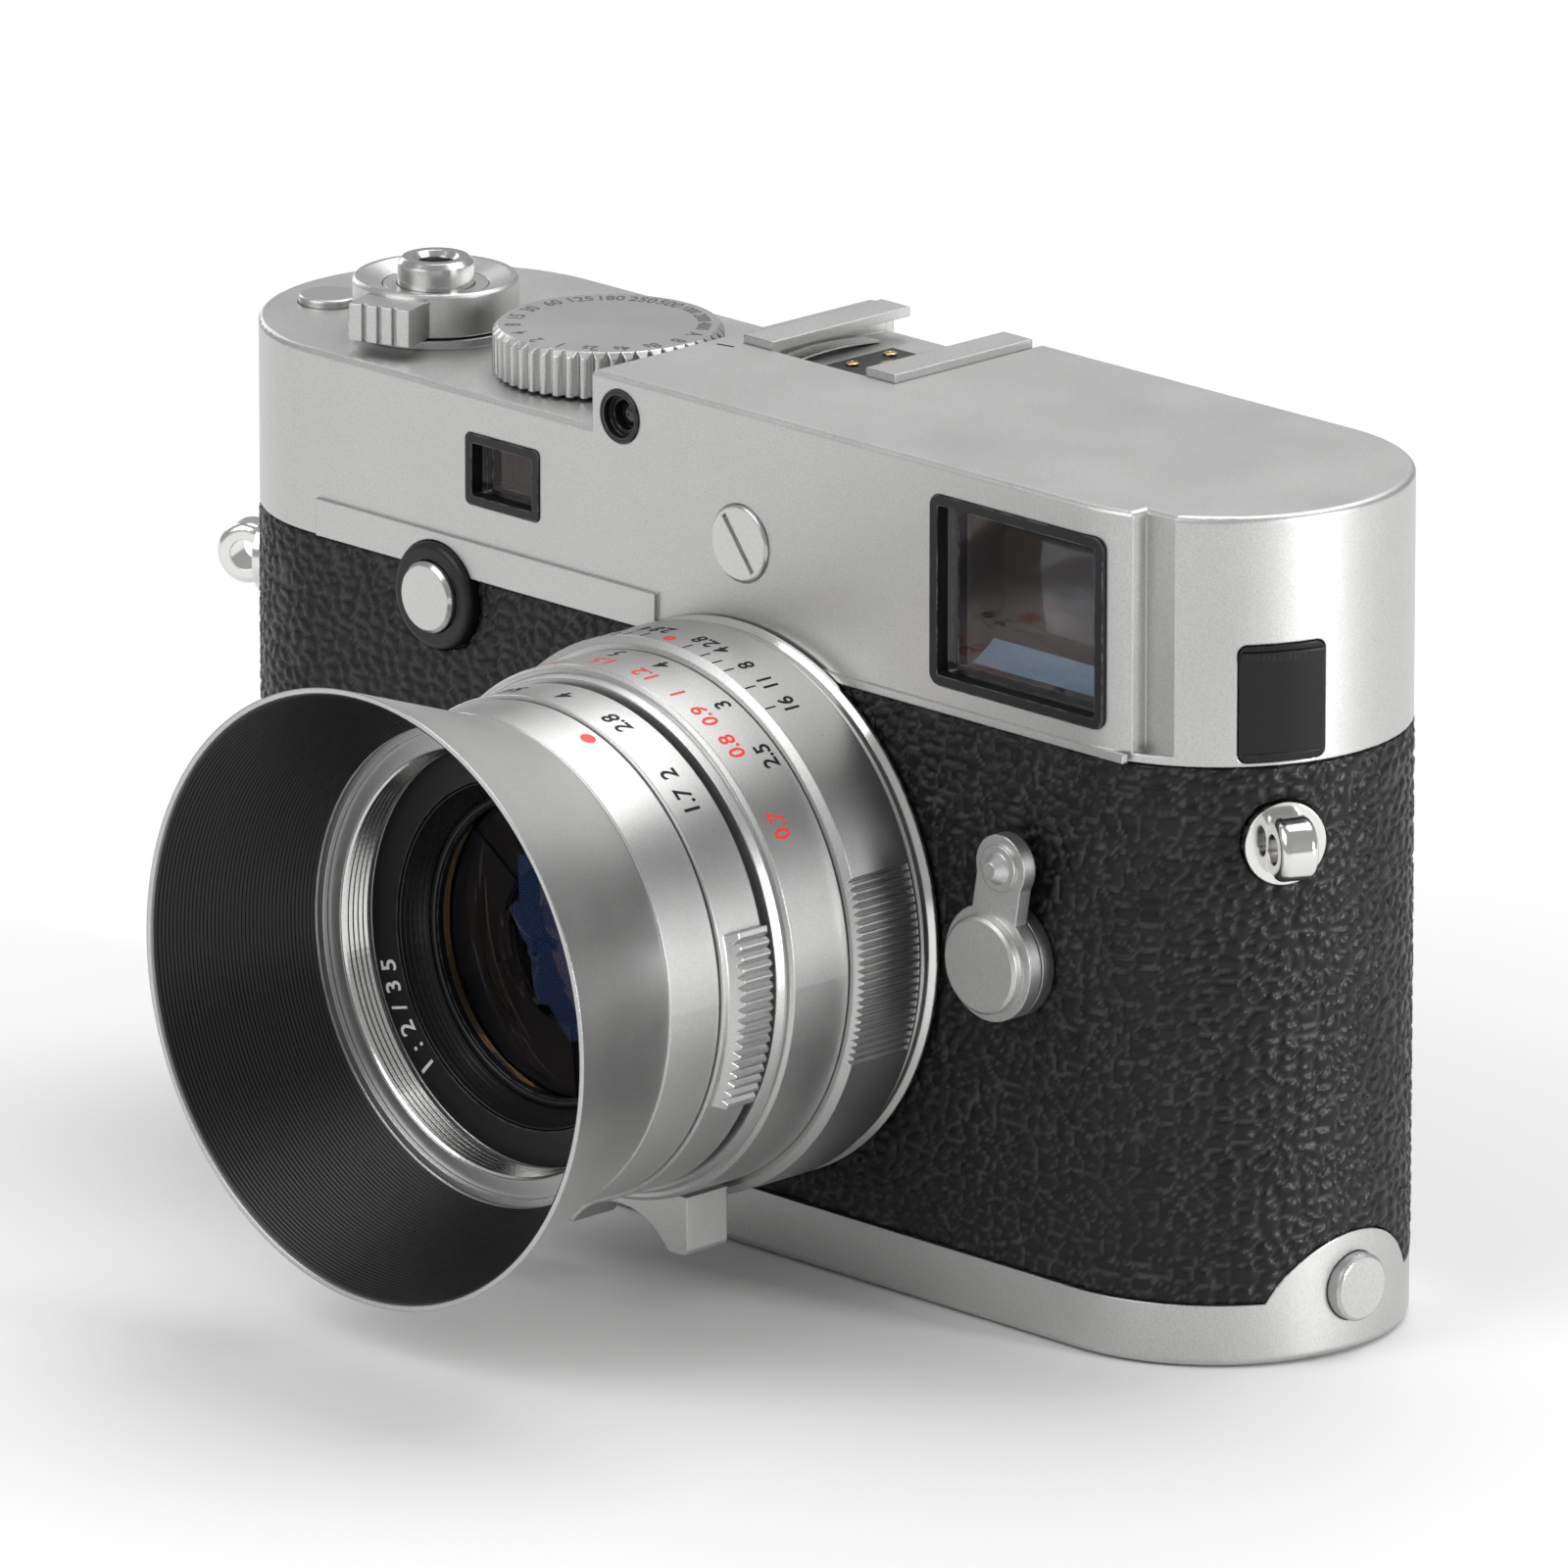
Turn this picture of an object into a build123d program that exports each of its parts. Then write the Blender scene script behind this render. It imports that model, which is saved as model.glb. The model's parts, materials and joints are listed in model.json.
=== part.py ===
from build123d import *
import math
import os

# Rangefinder camera with a manual-focus lens and its hood, in millimetres.
# +X runs to the right seen from the front, the lens points along -Y and +Z is up.
# The origin is the mouth of the tripod socket, in the middle of the underside.

# Body envelope
BODY_WIDTH = 138.6
BODY_DEPTH = 36.2
BASE_HEIGHT = 5.9
COVER_BOTTOM = 57.3
LOW_DECK = 75.3
DECK_STEP = 5.5
HIGH_DECK = LOW_DECK + DECK_STEP
DECK_STEP_X = -12.6
SEAM = 0.1
SKIN_GAP = 0.2
FRONT = -BODY_DEPTH / 2
BACK = BODY_DEPTH / 2
END_CENTRE_X = (BODY_WIDTH - BODY_DEPTH) / 2

# Shells
LEATHER_THICKNESS = 1.0
CHASSIS_WALL = 1.6
CHASSIS_BOTTOM = 3.2
COVER_WALL = 1.2
COVER_END_INSET = 0.2
BASE_WALL = 0.9
BASE_FLOOR = 1.2
CHASSIS_INSET = LEATHER_THICKNESS + SKIN_GAP
CHASSIS_TOP = COVER_BOTTOM - SEAM
CHASSIS_FLOOR = CHASSIS_BOTTOM + CHASSIS_WALL
CHASSIS_FRONT = FRONT + CHASSIS_INSET
CHASSIS_BACK = BACK - CHASSIS_INSET
CAVITY_FRONT = CHASSIS_FRONT + CHASSIS_WALL
CAVITY_BACK = CHASSIS_BACK - CHASSIS_WALL

# Top cover trim
PANEL_EDGE_X = END_CENTRE_X + 5.8
END_FACE_SETBACK = 2.8
COVER_LIP = 0.8
BAND_HEIGHT = 3.6
BAND_PROUD = 0.35
BAND_LEFT_X = -END_CENTRE_X + 1.2
BAND_RIGHT_X = -4.0
DECK_EDGE_RADIUS = 0.6

# Base plate arch, stud, key and tripod socket
ARCH_RADIUS = 10.1
ARCH_TOP = 11.5
STUD_RADIUS = 3.2
STUD_HEIGHT_Z = 6.3
STUD_PROUD = 1.0
SOCKET_RADIUS = 7.0
SOCKET_THREAD_RADIUS = 2.6
SOCKET_THREAD_DEPTH = 5.0
KEY_X = -END_CENTRE_X + 1.2
KEY_RADIUS = 9.0
KEY_RECESS = 0.2
BAIL_RADIUS = 7.6
BAIL_WIDTH = 1.8

# Lens axis, camera mount and throat
LENS_X = 7.1
LENS_Z = 34.2
THROAT_RADIUS = 21.8
THROAT_WALL = 1.6
THROAT_END = CAVITY_BACK - 12.3
MOUNT_TUBE_WALL = 2.2
MOUNT_RIM = 2.5
MOUNT_PROUD = 1.2
MOUNT_TUBE_RADIUS = THROAT_RADIUS + MOUNT_TUBE_WALL
MOUNT_RADIUS = MOUNT_TUBE_RADIUS + MOUNT_RIM
MOUNT_SCREW_ANGLES = (45, 135, 225, 315)
MOUNT_SCREW_CIRCLE = THROAT_RADIUS + MOUNT_TUBE_WALL / 2
MOUNT_SCREW_RADIUS = 0.8
MOUNT_SCREW_DEPTH = 2.5
FLANGE = FRONT - MOUNT_PROUD

# Lens: distances are measured forward from the flange
FLANGE_PLATE = 1.0
SCALE_RING_LENGTH = 8.4
FOCUS_RING_LENGTH = 8.2
APERTURE_GAP = 0.8
APERTURE_RING_LENGTH = 5.7
BARREL_FRONT_LENGTH = 6.3
HOOD_LENGTH = 16.2
RING_GAP = 0.1
RUNNING_FIT = 0.08
BAYONET_CLEARANCE = 0.2
BAYONET_WALL = 3.0
BAYONET_LENGTH = 3.3
BAYONET_LUG_START = 2.2
BAYONET_LUG_ANGLES = (10, 130, 250)
BAYONET_NECK = 1.2
BAYONET_RADIUS = THROAT_RADIUS - BAYONET_CLEARANCE
BAYONET_BORE = BAYONET_RADIUS - BAYONET_WALL
CAM_TUBE_RADIUS = BAYONET_BORE - 0.3
CAM_TUBE_WALL = 1.1
BARREL_RADIUS = CAM_TUBE_RADIUS + 2.8
BARREL_WALL = 1.2
SLEEVE_WALL = 1.12
SLEEVE_RADIUS = BARREL_RADIUS + RUNNING_FIT + SLEEVE_WALL
FOCUS_LIP_RADIUS = SLEEVE_RADIUS + 1.9
FOCUS_RADIUS = SLEEVE_RADIUS + 2.95
SCALE_RADIUS = FOCUS_RADIUS + 1.25
APERTURE_RADIUS = BARREL_RADIUS + 2.8
WING_RADIUS = APERTURE_RADIUS + 0.9
WING_SPAN = (-26.0, 15.0)
WING_WIDTH = 3.6
FRONT_RADIUS = BARREL_RADIUS + 2.4
FILTER_RADIUS = FRONT_RADIUS - 3.2
FILTER_DEPTH = 3.6
HOOD_REAR_RADIUS = FRONT_RADIUS - 0.1
HOOD_FLARE = 5.7
HOOD_RIM_RADIUS = HOOD_REAR_RADIUS + HOOD_FLARE
HOOD_OPENING_RADIUS = FILTER_RADIUS + 1.7
HOOD_WALL = 0.5
CELL_RADIUS = CAM_TUBE_RADIUS - 1.9
CELL_WALL = 2.3
CELL_BORE = CELL_RADIUS - CELL_WALL
REAR_GLASS_RADIUS = 9.0
SCALE_REAR = FLANGE - FLANGE_PLATE - RING_GAP
SCALE_FRONT = SCALE_REAR - SCALE_RING_LENGTH
FOCUS_REAR = SCALE_FRONT - RING_GAP
FOCUS_FRONT = FOCUS_REAR - FOCUS_RING_LENGTH
APERTURE_REAR = FOCUS_FRONT - APERTURE_GAP
APERTURE_FRONT = APERTURE_REAR - APERTURE_RING_LENGTH
SHOULDER = APERTURE_FRONT - RING_GAP
BARREL_FRONT = SHOULDER - BARREL_FRONT_LENGTH
NAME_RING_FRONT = BARREL_FRONT + FILTER_DEPTH
CAM_TUBE_END = FLANGE + 4.8

# Focus tab under the focus ring
TAB_X = LENS_X + 1.5
TAB_WIDTH = 17.6
TAB_LEG = 2.5
TAB_BOTTOM = 5.0
TAB_ARCH = 3.2
TAB_DEPTH = 5.2

# Knurled patches
SCALE_KNURL_SPAN = 20.0
SCALE_KNURL_COUNT = 24
WING_KNURL_COUNT = 16
KNURL_DEPTH = 0.45

# Windows in the front of the top cover: (left, right, bottom, top)
FINDER_WINDOW = (END_CENTRE_X - 19.2, END_CENTRE_X + 3.1, 59.8, 77.9)
FINDER_CORNER = 1.2
FINDER_RIM = 1.0
RANGE_WINDOW = (-29.7, -19.8, 64.5, 71.4)
RANGE_CORNER = 0.6
RANGE_RIM = 0.9
BEZEL_PROUD = 0.15
BEZEL_DEPTH = 3.6
SENSOR_WINDOW_X = DECK_STEP_X + 3.65
SENSOR_WINDOW_Z = HIGH_DECK - 3.85
SENSOR_WINDOW_RADIUS = 2.55
COVER_SCREW_Z = 68.0
COVER_SCREW_RADIUS = 3.7

# Rangefinder works under the top cover
FRAME_THICKNESS = 1.4
FRAME_BOTTOM = LENS_Z + THROAT_RADIUS + THROAT_WALL + SEAM
FRAME_TOP = FRAME_BOTTOM + FRAME_THICKNESS
FRAME_FRONT = FRONT + 3.0
FRAME_REAR = FRAME_FRONT + 7.0
ARM_PIVOT_Y = CAM_TUBE_END + 1.7
ARM_PIVOT_Z = FRAME_TOP + 1.6
ROLLER_RADIUS = 1.6
ROLLER_Z = LENS_Z + CAM_TUBE_RADIUS - 0.5
ARM_WIDTH = 2.4
PIVOT_RADIUS = 0.8

# Top deck controls
RELEASE_X = -END_CENTRE_X + 3.2
RELEASE_Y = FRONT + 13.5
BUTTON_RADIUS = 3.65
RELEASE_CORE_RADIUS = BUTTON_RADIUS + 1.35
RELEASE_RADIUS = RELEASE_CORE_RADIUS + 2.9
RELEASE_TOP = LOW_DECK + 5.2
RELEASE_DISH = 0.8
COLLAR_RADIUS = RELEASE_RADIUS + 0.4
COLLAR_HEIGHT = 0.9
RELEASE_STEM_RADIUS = 1.6
BUTTON_PROUD = 1.8
CABLE_THREAD_RADIUS = 1.72
CABLE_THREAD_DEPTH = 3.2
BUTTON_TRAVEL = 1.2
SWITCH_TAB_ANGLE = -72.0
SWITCH_TAB_REACH = RELEASE_RADIUS + 3.3
SWITCH_TAB_WIDTH = 6.4
SWITCH_TAB_RIBS = 4
DIAL_X = -25.3
DIAL_Y = FRONT + 14.3
DIAL_RADIUS = 10.95
DIAL_TOP = LOW_DECK + 4.7
DIAL_TEETH = 48
VIDEO_X = -END_CENTRE_X - 10.7
VIDEO_Y = FRONT + 12.7
VIDEO_RADIUS = 2.9
VIDEO_PROUD = 0.8
SHOE_X = 0.6
SHOE_SLOT_WIDTH = 18.6
SHOE_WALL = 0.7
SHOE_LIP_REACH = 3.1
SHOE_WIDTH = SHOE_SLOT_WIDTH + 2 * SHOE_WALL
SHOE_LIP_GAP = SHOE_SLOT_WIDTH - 2 * SHOE_LIP_REACH
SHOE_SLOT_HEIGHT = 2.0
SHOE_FRONT_Y = -1.6
SHOE_LENGTH = 18.0
SHOE_PROUD = 0.8
SHOE_LIP = 0.9
SHOE_FLOOR = HIGH_DECK + SHOE_PROUD - SHOE_LIP - SHOE_SLOT_HEIGHT
SHOE_BOTTOM = SHOE_FLOOR - 0.8
CONTACT_SIZE = 9.0
CONTACT_SETBACK = 5.0
CONTACT_DEPTH = 0.5

# Front controls
FOCUS_BUTTON_X = -33.5
FOCUS_BUTTON_Z = 54.8
FOCUS_BEZEL_RADIUS = 5.2
FOCUS_BUTTON_RADIUS = 3.45
FOCUS_BEZEL_PROUD = 1.1
FOCUS_BUTTON_PROUD = 1.9
LEVER_RADIUS = 5.5
LEVER_STANDOFF = 3.6
LEVER_X = LENS_X + MOUNT_RADIUS + LEVER_STANDOFF + LEVER_RADIUS
LEVER_Z = LENS_Z + 1.7
LEVER_CAP_RADIUS = 4.65
LEVER_REACH = 9.6
LEVER_TIP_RADIUS = 3.1
LEVER_TILT = 9.5
LEVER_BASE_PROUD = 1.5
LEVER_THICKNESS = 1.5
LEVER_CAP_THICKNESS = 1.2
LEVER_PIN_RADIUS = 1.5
LEVER_PIN_LENGTH = 1.0
LEVER_SHAFT_RADIUS = 2.0
LENS_RELEASE_ANGLE = 215.0
LENS_RELEASE_RADIUS = 3.6
LENS_RELEASE_CIRCLE = MOUNT_RADIUS + LENS_RELEASE_RADIUS + 1.4
LENS_RELEASE_PROUD = 2.2
LENS_RELEASE_SHAFT_RADIUS = 2.0
LENS_RELEASE_MARGIN = 0.9

# Strap lugs and the port in the right-hand end
LUG_Z = 50.0
LUG_ANGLE = 26.0
LUG_BASE_RADIUS = 3.9
LUG_BASE_THICKNESS = 0.5
LUG_RING_RADIUS = 3.0
LUG_HOLE_RADIUS = 1.45
LUG_RING_WIDTH = 3.6
LUG_STANDOFF = LUG_BASE_THICKNESS + LUG_HOLE_RADIUS + 0.1
LUG_SHANK_RADIUS = 2.0
PORT_ANGLE = -26.3
PORT_WIDTH = 8.3
PORT_HEIGHT = 11.0
PORT_COVER_THICKNESS = 1.1
PORT_BOTTOM = COVER_BOTTOM + 0.4

# Shutter and sensor
GATE_WIDTH = 37.0
GATE_HEIGHT = 24.0
LEAF_THICKNESS = 0.2
LEAF_PITCH = 0.7
LEAF_WIDTH = 40.0
LEAF_HEIGHT = 12.6
SHUTTER_WALL = 0.6
SHUTTER_DEPTH = 3.4
LEAF_CLEARANCE = 0.3
GATE_BOTTOM = LENS_Z - GATE_HEIGHT / 2
GATE_TOP = LENS_Z + GATE_HEIGHT / 2
SHUTTER_REAR = THROAT_END + SHUTTER_DEPTH
SENSOR_THICKNESS = 2.4
BOARD_THICKNESS = 1.2

# Battery
BATTERY_X = -END_CENTRE_X + 7.2
BATTERY_WIDTH = 22.0
BATTERY_DEPTH = 18.0
BATTERY_HEIGHT = 41.0

# Rear panel
REAR_HALF_WIDTH = END_CENTRE_X - 1.2
DISPLAY_X = 3.0
DISPLAY_Z = 31.5
DISPLAY_WIDTH = 64.0
DISPLAY_HEIGHT = 45.0
DISPLAY_GLASS = 0.9
MENU_X = END_CENTRE_X - 8.2
MENU_WIDTH = 7.0
MENU_HEIGHT = 4.4
MENU_PITCH = 12.0
KEY_PROUD = 0.8
KEY_FLANGE = 0.6
KEY_CLEARANCE = 0.15
KEY_TRAVEL = 0.4
PAD_X = -40.0
PAD_Z = 33.0
PAD_RADIUS = 8.5
PAD_PROUD = 1.0
PAD_CLEARANCE = 0.3
SET_RADIUS = 3.2
WHEEL_X = -END_CENTRE_X - 0.8
WHEEL_Z = 64.8
WHEEL_RADIUS = 9.0
WHEEL_THICKNESS = 3.4
WHEEL_PROUD = 1.5
EYEPIECE_X = END_CENTRE_X - 6.2
EYEPIECE_Z = 68.6
EYEPIECE_RADIUS = 7.4
EYEPIECE_PROUD = 2.6


def slot_prism(inset, bottom, top, end_inset=0.0):
    """Upright prism with the body's round-ended plan, drawn in by the inset."""
    width = BODY_WIDTH - 2 * inset - 2 * end_inset
    plan = Plane.XY.offset(bottom) * SlotOverall(width, BODY_DEPTH - 2 * inset)
    return extrude(plan, top - bottom)


def block(x_span, y_span, z_span):
    """Box between two corners given as spans along each axis."""
    size = [high - low for low, high in (x_span, y_span, z_span)]
    middle = [(high + low) / 2 for low, high in (x_span, y_span, z_span)]
    return Pos(*middle) * Box(*size)


def rod_z(x, y, radius, bottom, top):
    """Upright cylinder."""
    return Pos(x, y, (bottom + top) / 2) * Cylinder(radius, top - bottom)


def rod_y(x, z, radius, front, rear):
    """Cylinder lying front to back."""
    return Pos(x, (front + rear) / 2, z) * Rot(90, 0, 0) * Cylinder(radius, rear - front)


def rod_x(y, z, radius, left, right):
    """Cylinder lying across the body."""
    return Pos((left + right) / 2, y, z) * Rot(0, 90, 0) * Cylinder(radius, right - left)


def lens_turned(points):
    """Solid turned about the lens axis from (radius, y) points."""
    face = make_face(Polyline(*[(radius, y, 0) for radius, y in points], close=True))
    return Pos(LENS_X, 0, LENS_Z) * revolve(face, Axis.Y)


def lens_tube(inner, outer, front, rear):
    """Plain tube on the lens axis."""
    return lens_turned([(inner, front), (outer, front), (outer, rear), (inner, rear)])


def upright_turned(x, y, points):
    """Solid turned about a vertical axis from (radius, z) points."""
    face = make_face(Polyline(*[(radius, 0, z) for radius, z in points], close=True))
    return Pos(x, y, 0) * revolve(face, Axis.Z)


def front_prism(x, z, sketch, front, rear):
    """Sketch drawn in the front view and run from front to rear."""
    plane = Plane(origin=(x, rear, z), x_dir=(1, 0, 0), z_dir=(0, -1, 0))
    return extrude(plane * sketch, rear - front)


def lens_point(angle, radius):
    """Position (x, z) at an angle and radius about the lens axis."""
    return (
        LENS_X + radius * math.cos(math.radians(angle)),
        LENS_Z + radius * math.sin(math.radians(angle)),
    )


def end_place(angle):
    """Placement on the round end: local X points outward, local Z up."""
    side = END_CENTRE_X if math.cos(math.radians(angle)) > 0 else -END_CENTRE_X
    return Pos(side, 0, 0) * Rot(0, 0, angle)


def knurl_grooves(span, count, radius, depth, front, rear):
    """V grooves across a ring on the lens axis, between two angles."""
    pitch = (span[1] - span[0]) / count
    half_width = math.radians(pitch) * radius * 0.36
    grooves = []
    for index in range(count):
        angle = span[0] + pitch * (index + 0.5)
        mouth = [(radius + depth, -2 * half_width), (radius + depth, 2 * half_width)]
        outline = make_face(Polyline((radius - depth, 0), *mouth, close=True))
        groove = front_prism(LENS_X, LENS_Z, Rot(0, 0, angle) * outline, front, rear)
        grooves.append(groove)
    return grooves


# ---------------------------------------------------------------- body shells


def make_chassis():
    body = slot_prism(CHASSIS_INSET, CHASSIS_BOTTOM, CHASSIS_TOP)
    body -= slot_prism(CHASSIS_INSET + CHASSIS_WALL, CHASSIS_FLOOR, CHASSIS_TOP + 1)
    body -= rod_y(LENS_X, LENS_Z, MOUNT_TUBE_RADIUS + SEAM, FRONT, CAVITY_FRONT + 1)
    body -= rod_z(0, 0, SOCKET_RADIUS + 0.5, CHASSIS_BOTTOM - 1, CHASSIS_FLOOR + 1)
    body -= battery_box(0.4, CHASSIS_BOTTOM - 1, CHASSIS_FLOOR + 1)
    body -= display_box(-1.5, CAVITY_BACK - 1, BACK)
    body -= block((MENU_X - 5, MENU_X + 5), (CAVITY_BACK - 1, BACK), (10, 53))
    body -= rod_y(PAD_X, PAD_Z, PAD_RADIUS + 1.4, CAVITY_BACK - 1, BACK)
    body -= rod_y(FOCUS_BUTTON_X, FOCUS_BUTTON_Z, FOCUS_BUTTON_RADIUS + 0.4, FRONT, CAVITY_FRONT + 1)
    body -= rod_y(LEVER_X, LEVER_Z, LEVER_SHAFT_RADIUS + SEAM, FRONT, CAVITY_FRONT + 1)
    release = lens_point(LENS_RELEASE_ANGLE, LENS_RELEASE_CIRCLE)
    body -= rod_y(*release, LENS_RELEASE_SHAFT_RADIUS + SEAM, FRONT, CAVITY_FRONT + 1)
    body -= rod_x(0, STUD_HEIGHT_Z, STUD_RADIUS - 1.0 + SEAM, END_CENTRE_X, BODY_WIDTH / 2)
    for angle in (-LUG_ANGLE, 180 + LUG_ANGLE):
        body -= end_place(angle) * rod_x(0, LUG_Z, LUG_SHANK_RADIUS + SEAM, 5, BODY_DEPTH)
    return body


def make_leather():
    skin = slot_prism(0, BASE_HEIGHT + SKIN_GAP, COVER_BOTTOM - SKIN_GAP)
    skin -= slot_prism(LEATHER_THICKNESS, 0, HIGH_DECK)
    skin -= block((-REAR_HALF_WIDTH - SKIN_GAP, REAR_HALF_WIDTH + SKIN_GAP), (0, BACK + 1), (0, HIGH_DECK))
    skin -= arch_cylinder(SKIN_GAP)
    skin -= rod_y(LENS_X, LENS_Z, MOUNT_TUBE_RADIUS + SKIN_GAP, FRONT - 1, 0)
    skin -= rod_y(FOCUS_BUTTON_X, FOCUS_BUTTON_Z, FOCUS_BEZEL_RADIUS + SKIN_GAP, FRONT - 1, 0)
    skin -= rod_y(LEVER_X, LEVER_Z, LEVER_SHAFT_RADIUS + SEAM, FRONT - 1, 0)
    release = lens_point(LENS_RELEASE_ANGLE, LENS_RELEASE_CIRCLE)
    skin -= rod_y(*release, LENS_RELEASE_RADIUS + LENS_RELEASE_MARGIN, FRONT - 1, 0)
    for angle in (-LUG_ANGLE, 180 + LUG_ANGLE):
        skin -= end_place(angle) * rod_x(0, LUG_Z, LUG_BASE_RADIUS + SKIN_GAP, 5, BODY_DEPTH)
    return skin


def arch_cylinder(margin):
    """Round-topped region at the right end where the base plate rises."""
    return rod_x(0, ARCH_TOP - ARCH_RADIUS, ARCH_RADIUS + margin, END_CENTRE_X, BODY_WIDTH)


def make_base_plate():
    plate = slot_prism(0, 0, ARCH_TOP, COVER_END_INSET)
    plate = fillet(plate.edges().group_by(Axis.Z)[0], BASE_WALL * 0.9)
    tall = slot_prism(0, BASE_HEIGHT, ARCH_TOP + 1) - arch_cylinder(0)
    plate -= tall
    plate -= slot_prism(BASE_WALL, BASE_FLOOR, ARCH_TOP + 1, COVER_END_INSET)
    plate -= rod_z(0, 0, SOCKET_RADIUS + SEAM / 2, -1, BASE_HEIGHT)
    plate -= rod_z(KEY_X, 0, KEY_RADIUS + SEAM, -1, BASE_HEIGHT)
    plate -= rod_x(0, STUD_HEIGHT_Z, STUD_RADIUS + SEAM, END_CENTRE_X, BODY_WIDTH)
    return plate


def make_tripod_socket():
    socket = rod_z(0, 0, SOCKET_RADIUS, 0, BASE_HEIGHT)
    socket += rod_z(0, 0, SOCKET_RADIUS + 2, BASE_FLOOR, BASE_FLOOR + 1.2)
    socket -= rod_z(0, 0, SOCKET_THREAD_RADIUS, -1, SOCKET_THREAD_DEPTH)
    return socket


def make_base_key():
    key = rod_z(KEY_X, 0, KEY_RADIUS, KEY_RECESS, BASE_FLOOR + 0.6)
    key -= rod_z(KEY_X, 0, BAIL_RADIUS + 0.4, 0, BASE_FLOOR - 0.1)
    key += rod_z(KEY_X, 0, BAIL_RADIUS - BAIL_WIDTH - 0.4, KEY_RECESS, BASE_FLOOR) & block(
        (KEY_X - 20, KEY_X + 20), (-20, -0.8), (0, 5)
    )
    key += rod_z(KEY_X, 0, 4.0, BASE_FLOOR + 0.6, BASE_FLOOR + 1.6)
    key += block((KEY_X - 12, KEY_X), (-2.5, 2.5), (BASE_FLOOR + 0.6, BASE_FLOOR + 1.6))
    return key


def make_base_key_bail():
    ring = rod_z(KEY_X, 0, BAIL_RADIUS, KEY_RECESS + 0.15, BASE_FLOOR - 0.25)
    ring -= rod_z(KEY_X, 0, BAIL_RADIUS - BAIL_WIDTH, 0, BASE_FLOOR)
    ring &= block((KEY_X - 20, KEY_X + 20), (-20, 0), (0, 5))
    half_bar = (BASE_FLOOR - 0.25 - KEY_RECESS - 0.15) / 2
    bar = block((KEY_X - BAIL_RADIUS, KEY_X + BAIL_RADIUS), (-half_bar, half_bar),
                (KEY_RECESS + 0.15, BASE_FLOOR - 0.25))
    return ring + bar


def make_base_catch_stud():
    end_x = BODY_WIDTH / 2
    head = rod_x(0, STUD_HEIGHT_Z, STUD_RADIUS, end_x - BASE_WALL - COVER_END_INSET, end_x + STUD_PROUD)
    head = chamfer(head.edges().group_by(Axis.X)[-1], 0.3)
    shank = rod_x(0, STUD_HEIGHT_Z, STUD_RADIUS - 1.0, end_x - CHASSIS_INSET - CHASSIS_WALL - 1, end_x - 1)
    return head + shank


def make_top_cover():
    cover = slot_prism(0, COVER_BOTTOM, HIGH_DECK, COVER_END_INSET)
    cover -= block((-BODY_WIDTH, DECK_STEP_X), (-BODY_DEPTH, BODY_DEPTH), (LOW_DECK, HIGH_DECK + 1))
    cover -= block((PANEL_EDGE_X, BODY_WIDTH), (-BODY_DEPTH, FRONT + END_FACE_SETBACK),
                   (COVER_BOTTOM + COVER_LIP, HIGH_DECK + 1))
    high_edges = cover.edges().group_by(Axis.Z)[-1]
    cover = fillet(high_edges, DECK_EDGE_RADIUS)
    level = [e for e in cover.edges() if abs(e.center().Z - LOW_DECK) < 0.01]
    low_edges = [e for e in level if e.center().X < DECK_STEP_X - 1]
    cover = fillet(low_edges, DECK_EDGE_RADIUS)
    cover += cover_band()
    cover -= cover_cavity()
    cover += under_deck_bosses()
    for tool in cover_openings():
        cover -= tool
    return cover


def cover_band():
    """Shallow raised band along the lower edge of the front, left of the lens."""
    band = block((BAND_LEFT_X, BAND_RIGHT_X), (FRONT - BAND_PROUD, FRONT + 0.5),
                 (COVER_BOTTOM, COVER_BOTTOM + BAND_HEIGHT))
    lip = block((BAND_RIGHT_X, PANEL_EDGE_X), (FRONT - BAND_PROUD * 0.6, FRONT + 0.5),
                (COVER_BOTTOM, COVER_BOTTOM + COVER_LIP))
    return band + lip


def cover_cavity():
    low = slot_prism(COVER_WALL, COVER_BOTTOM - 1, LOW_DECK - COVER_WALL, COVER_END_INSET)
    high = slot_prism(COVER_WALL, COVER_BOTTOM - 1, HIGH_DECK - COVER_WALL, COVER_END_INSET)
    high &= block((DECK_STEP_X + COVER_WALL, BODY_WIDTH), (-BODY_DEPTH, BODY_DEPTH), (0, HIGH_DECK))
    corner = block((PANEL_EDGE_X - COVER_WALL, BODY_WIDTH),
                   (-BODY_DEPTH, FRONT + END_FACE_SETBACK + COVER_WALL), (0, HIGH_DECK))
    return (low + high) - corner


def under_deck_bosses():
    tub = block((SHOE_X - SHOE_WIDTH / 2 - 1.2, SHOE_X + SHOE_WIDTH / 2 + 1.2),
                (SHOE_FRONT_Y - 1.2, BACK - COVER_WALL), (SHOE_BOTTOM - 1.3, HIGH_DECK - COVER_WALL))
    wheel_boss = rod_z(WHEEL_X, wheel_y(), 2.6, WHEEL_Z + WHEEL_THICKNESS / 2 + 0.4, LOW_DECK - COVER_WALL)
    return tub + wheel_boss


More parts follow.
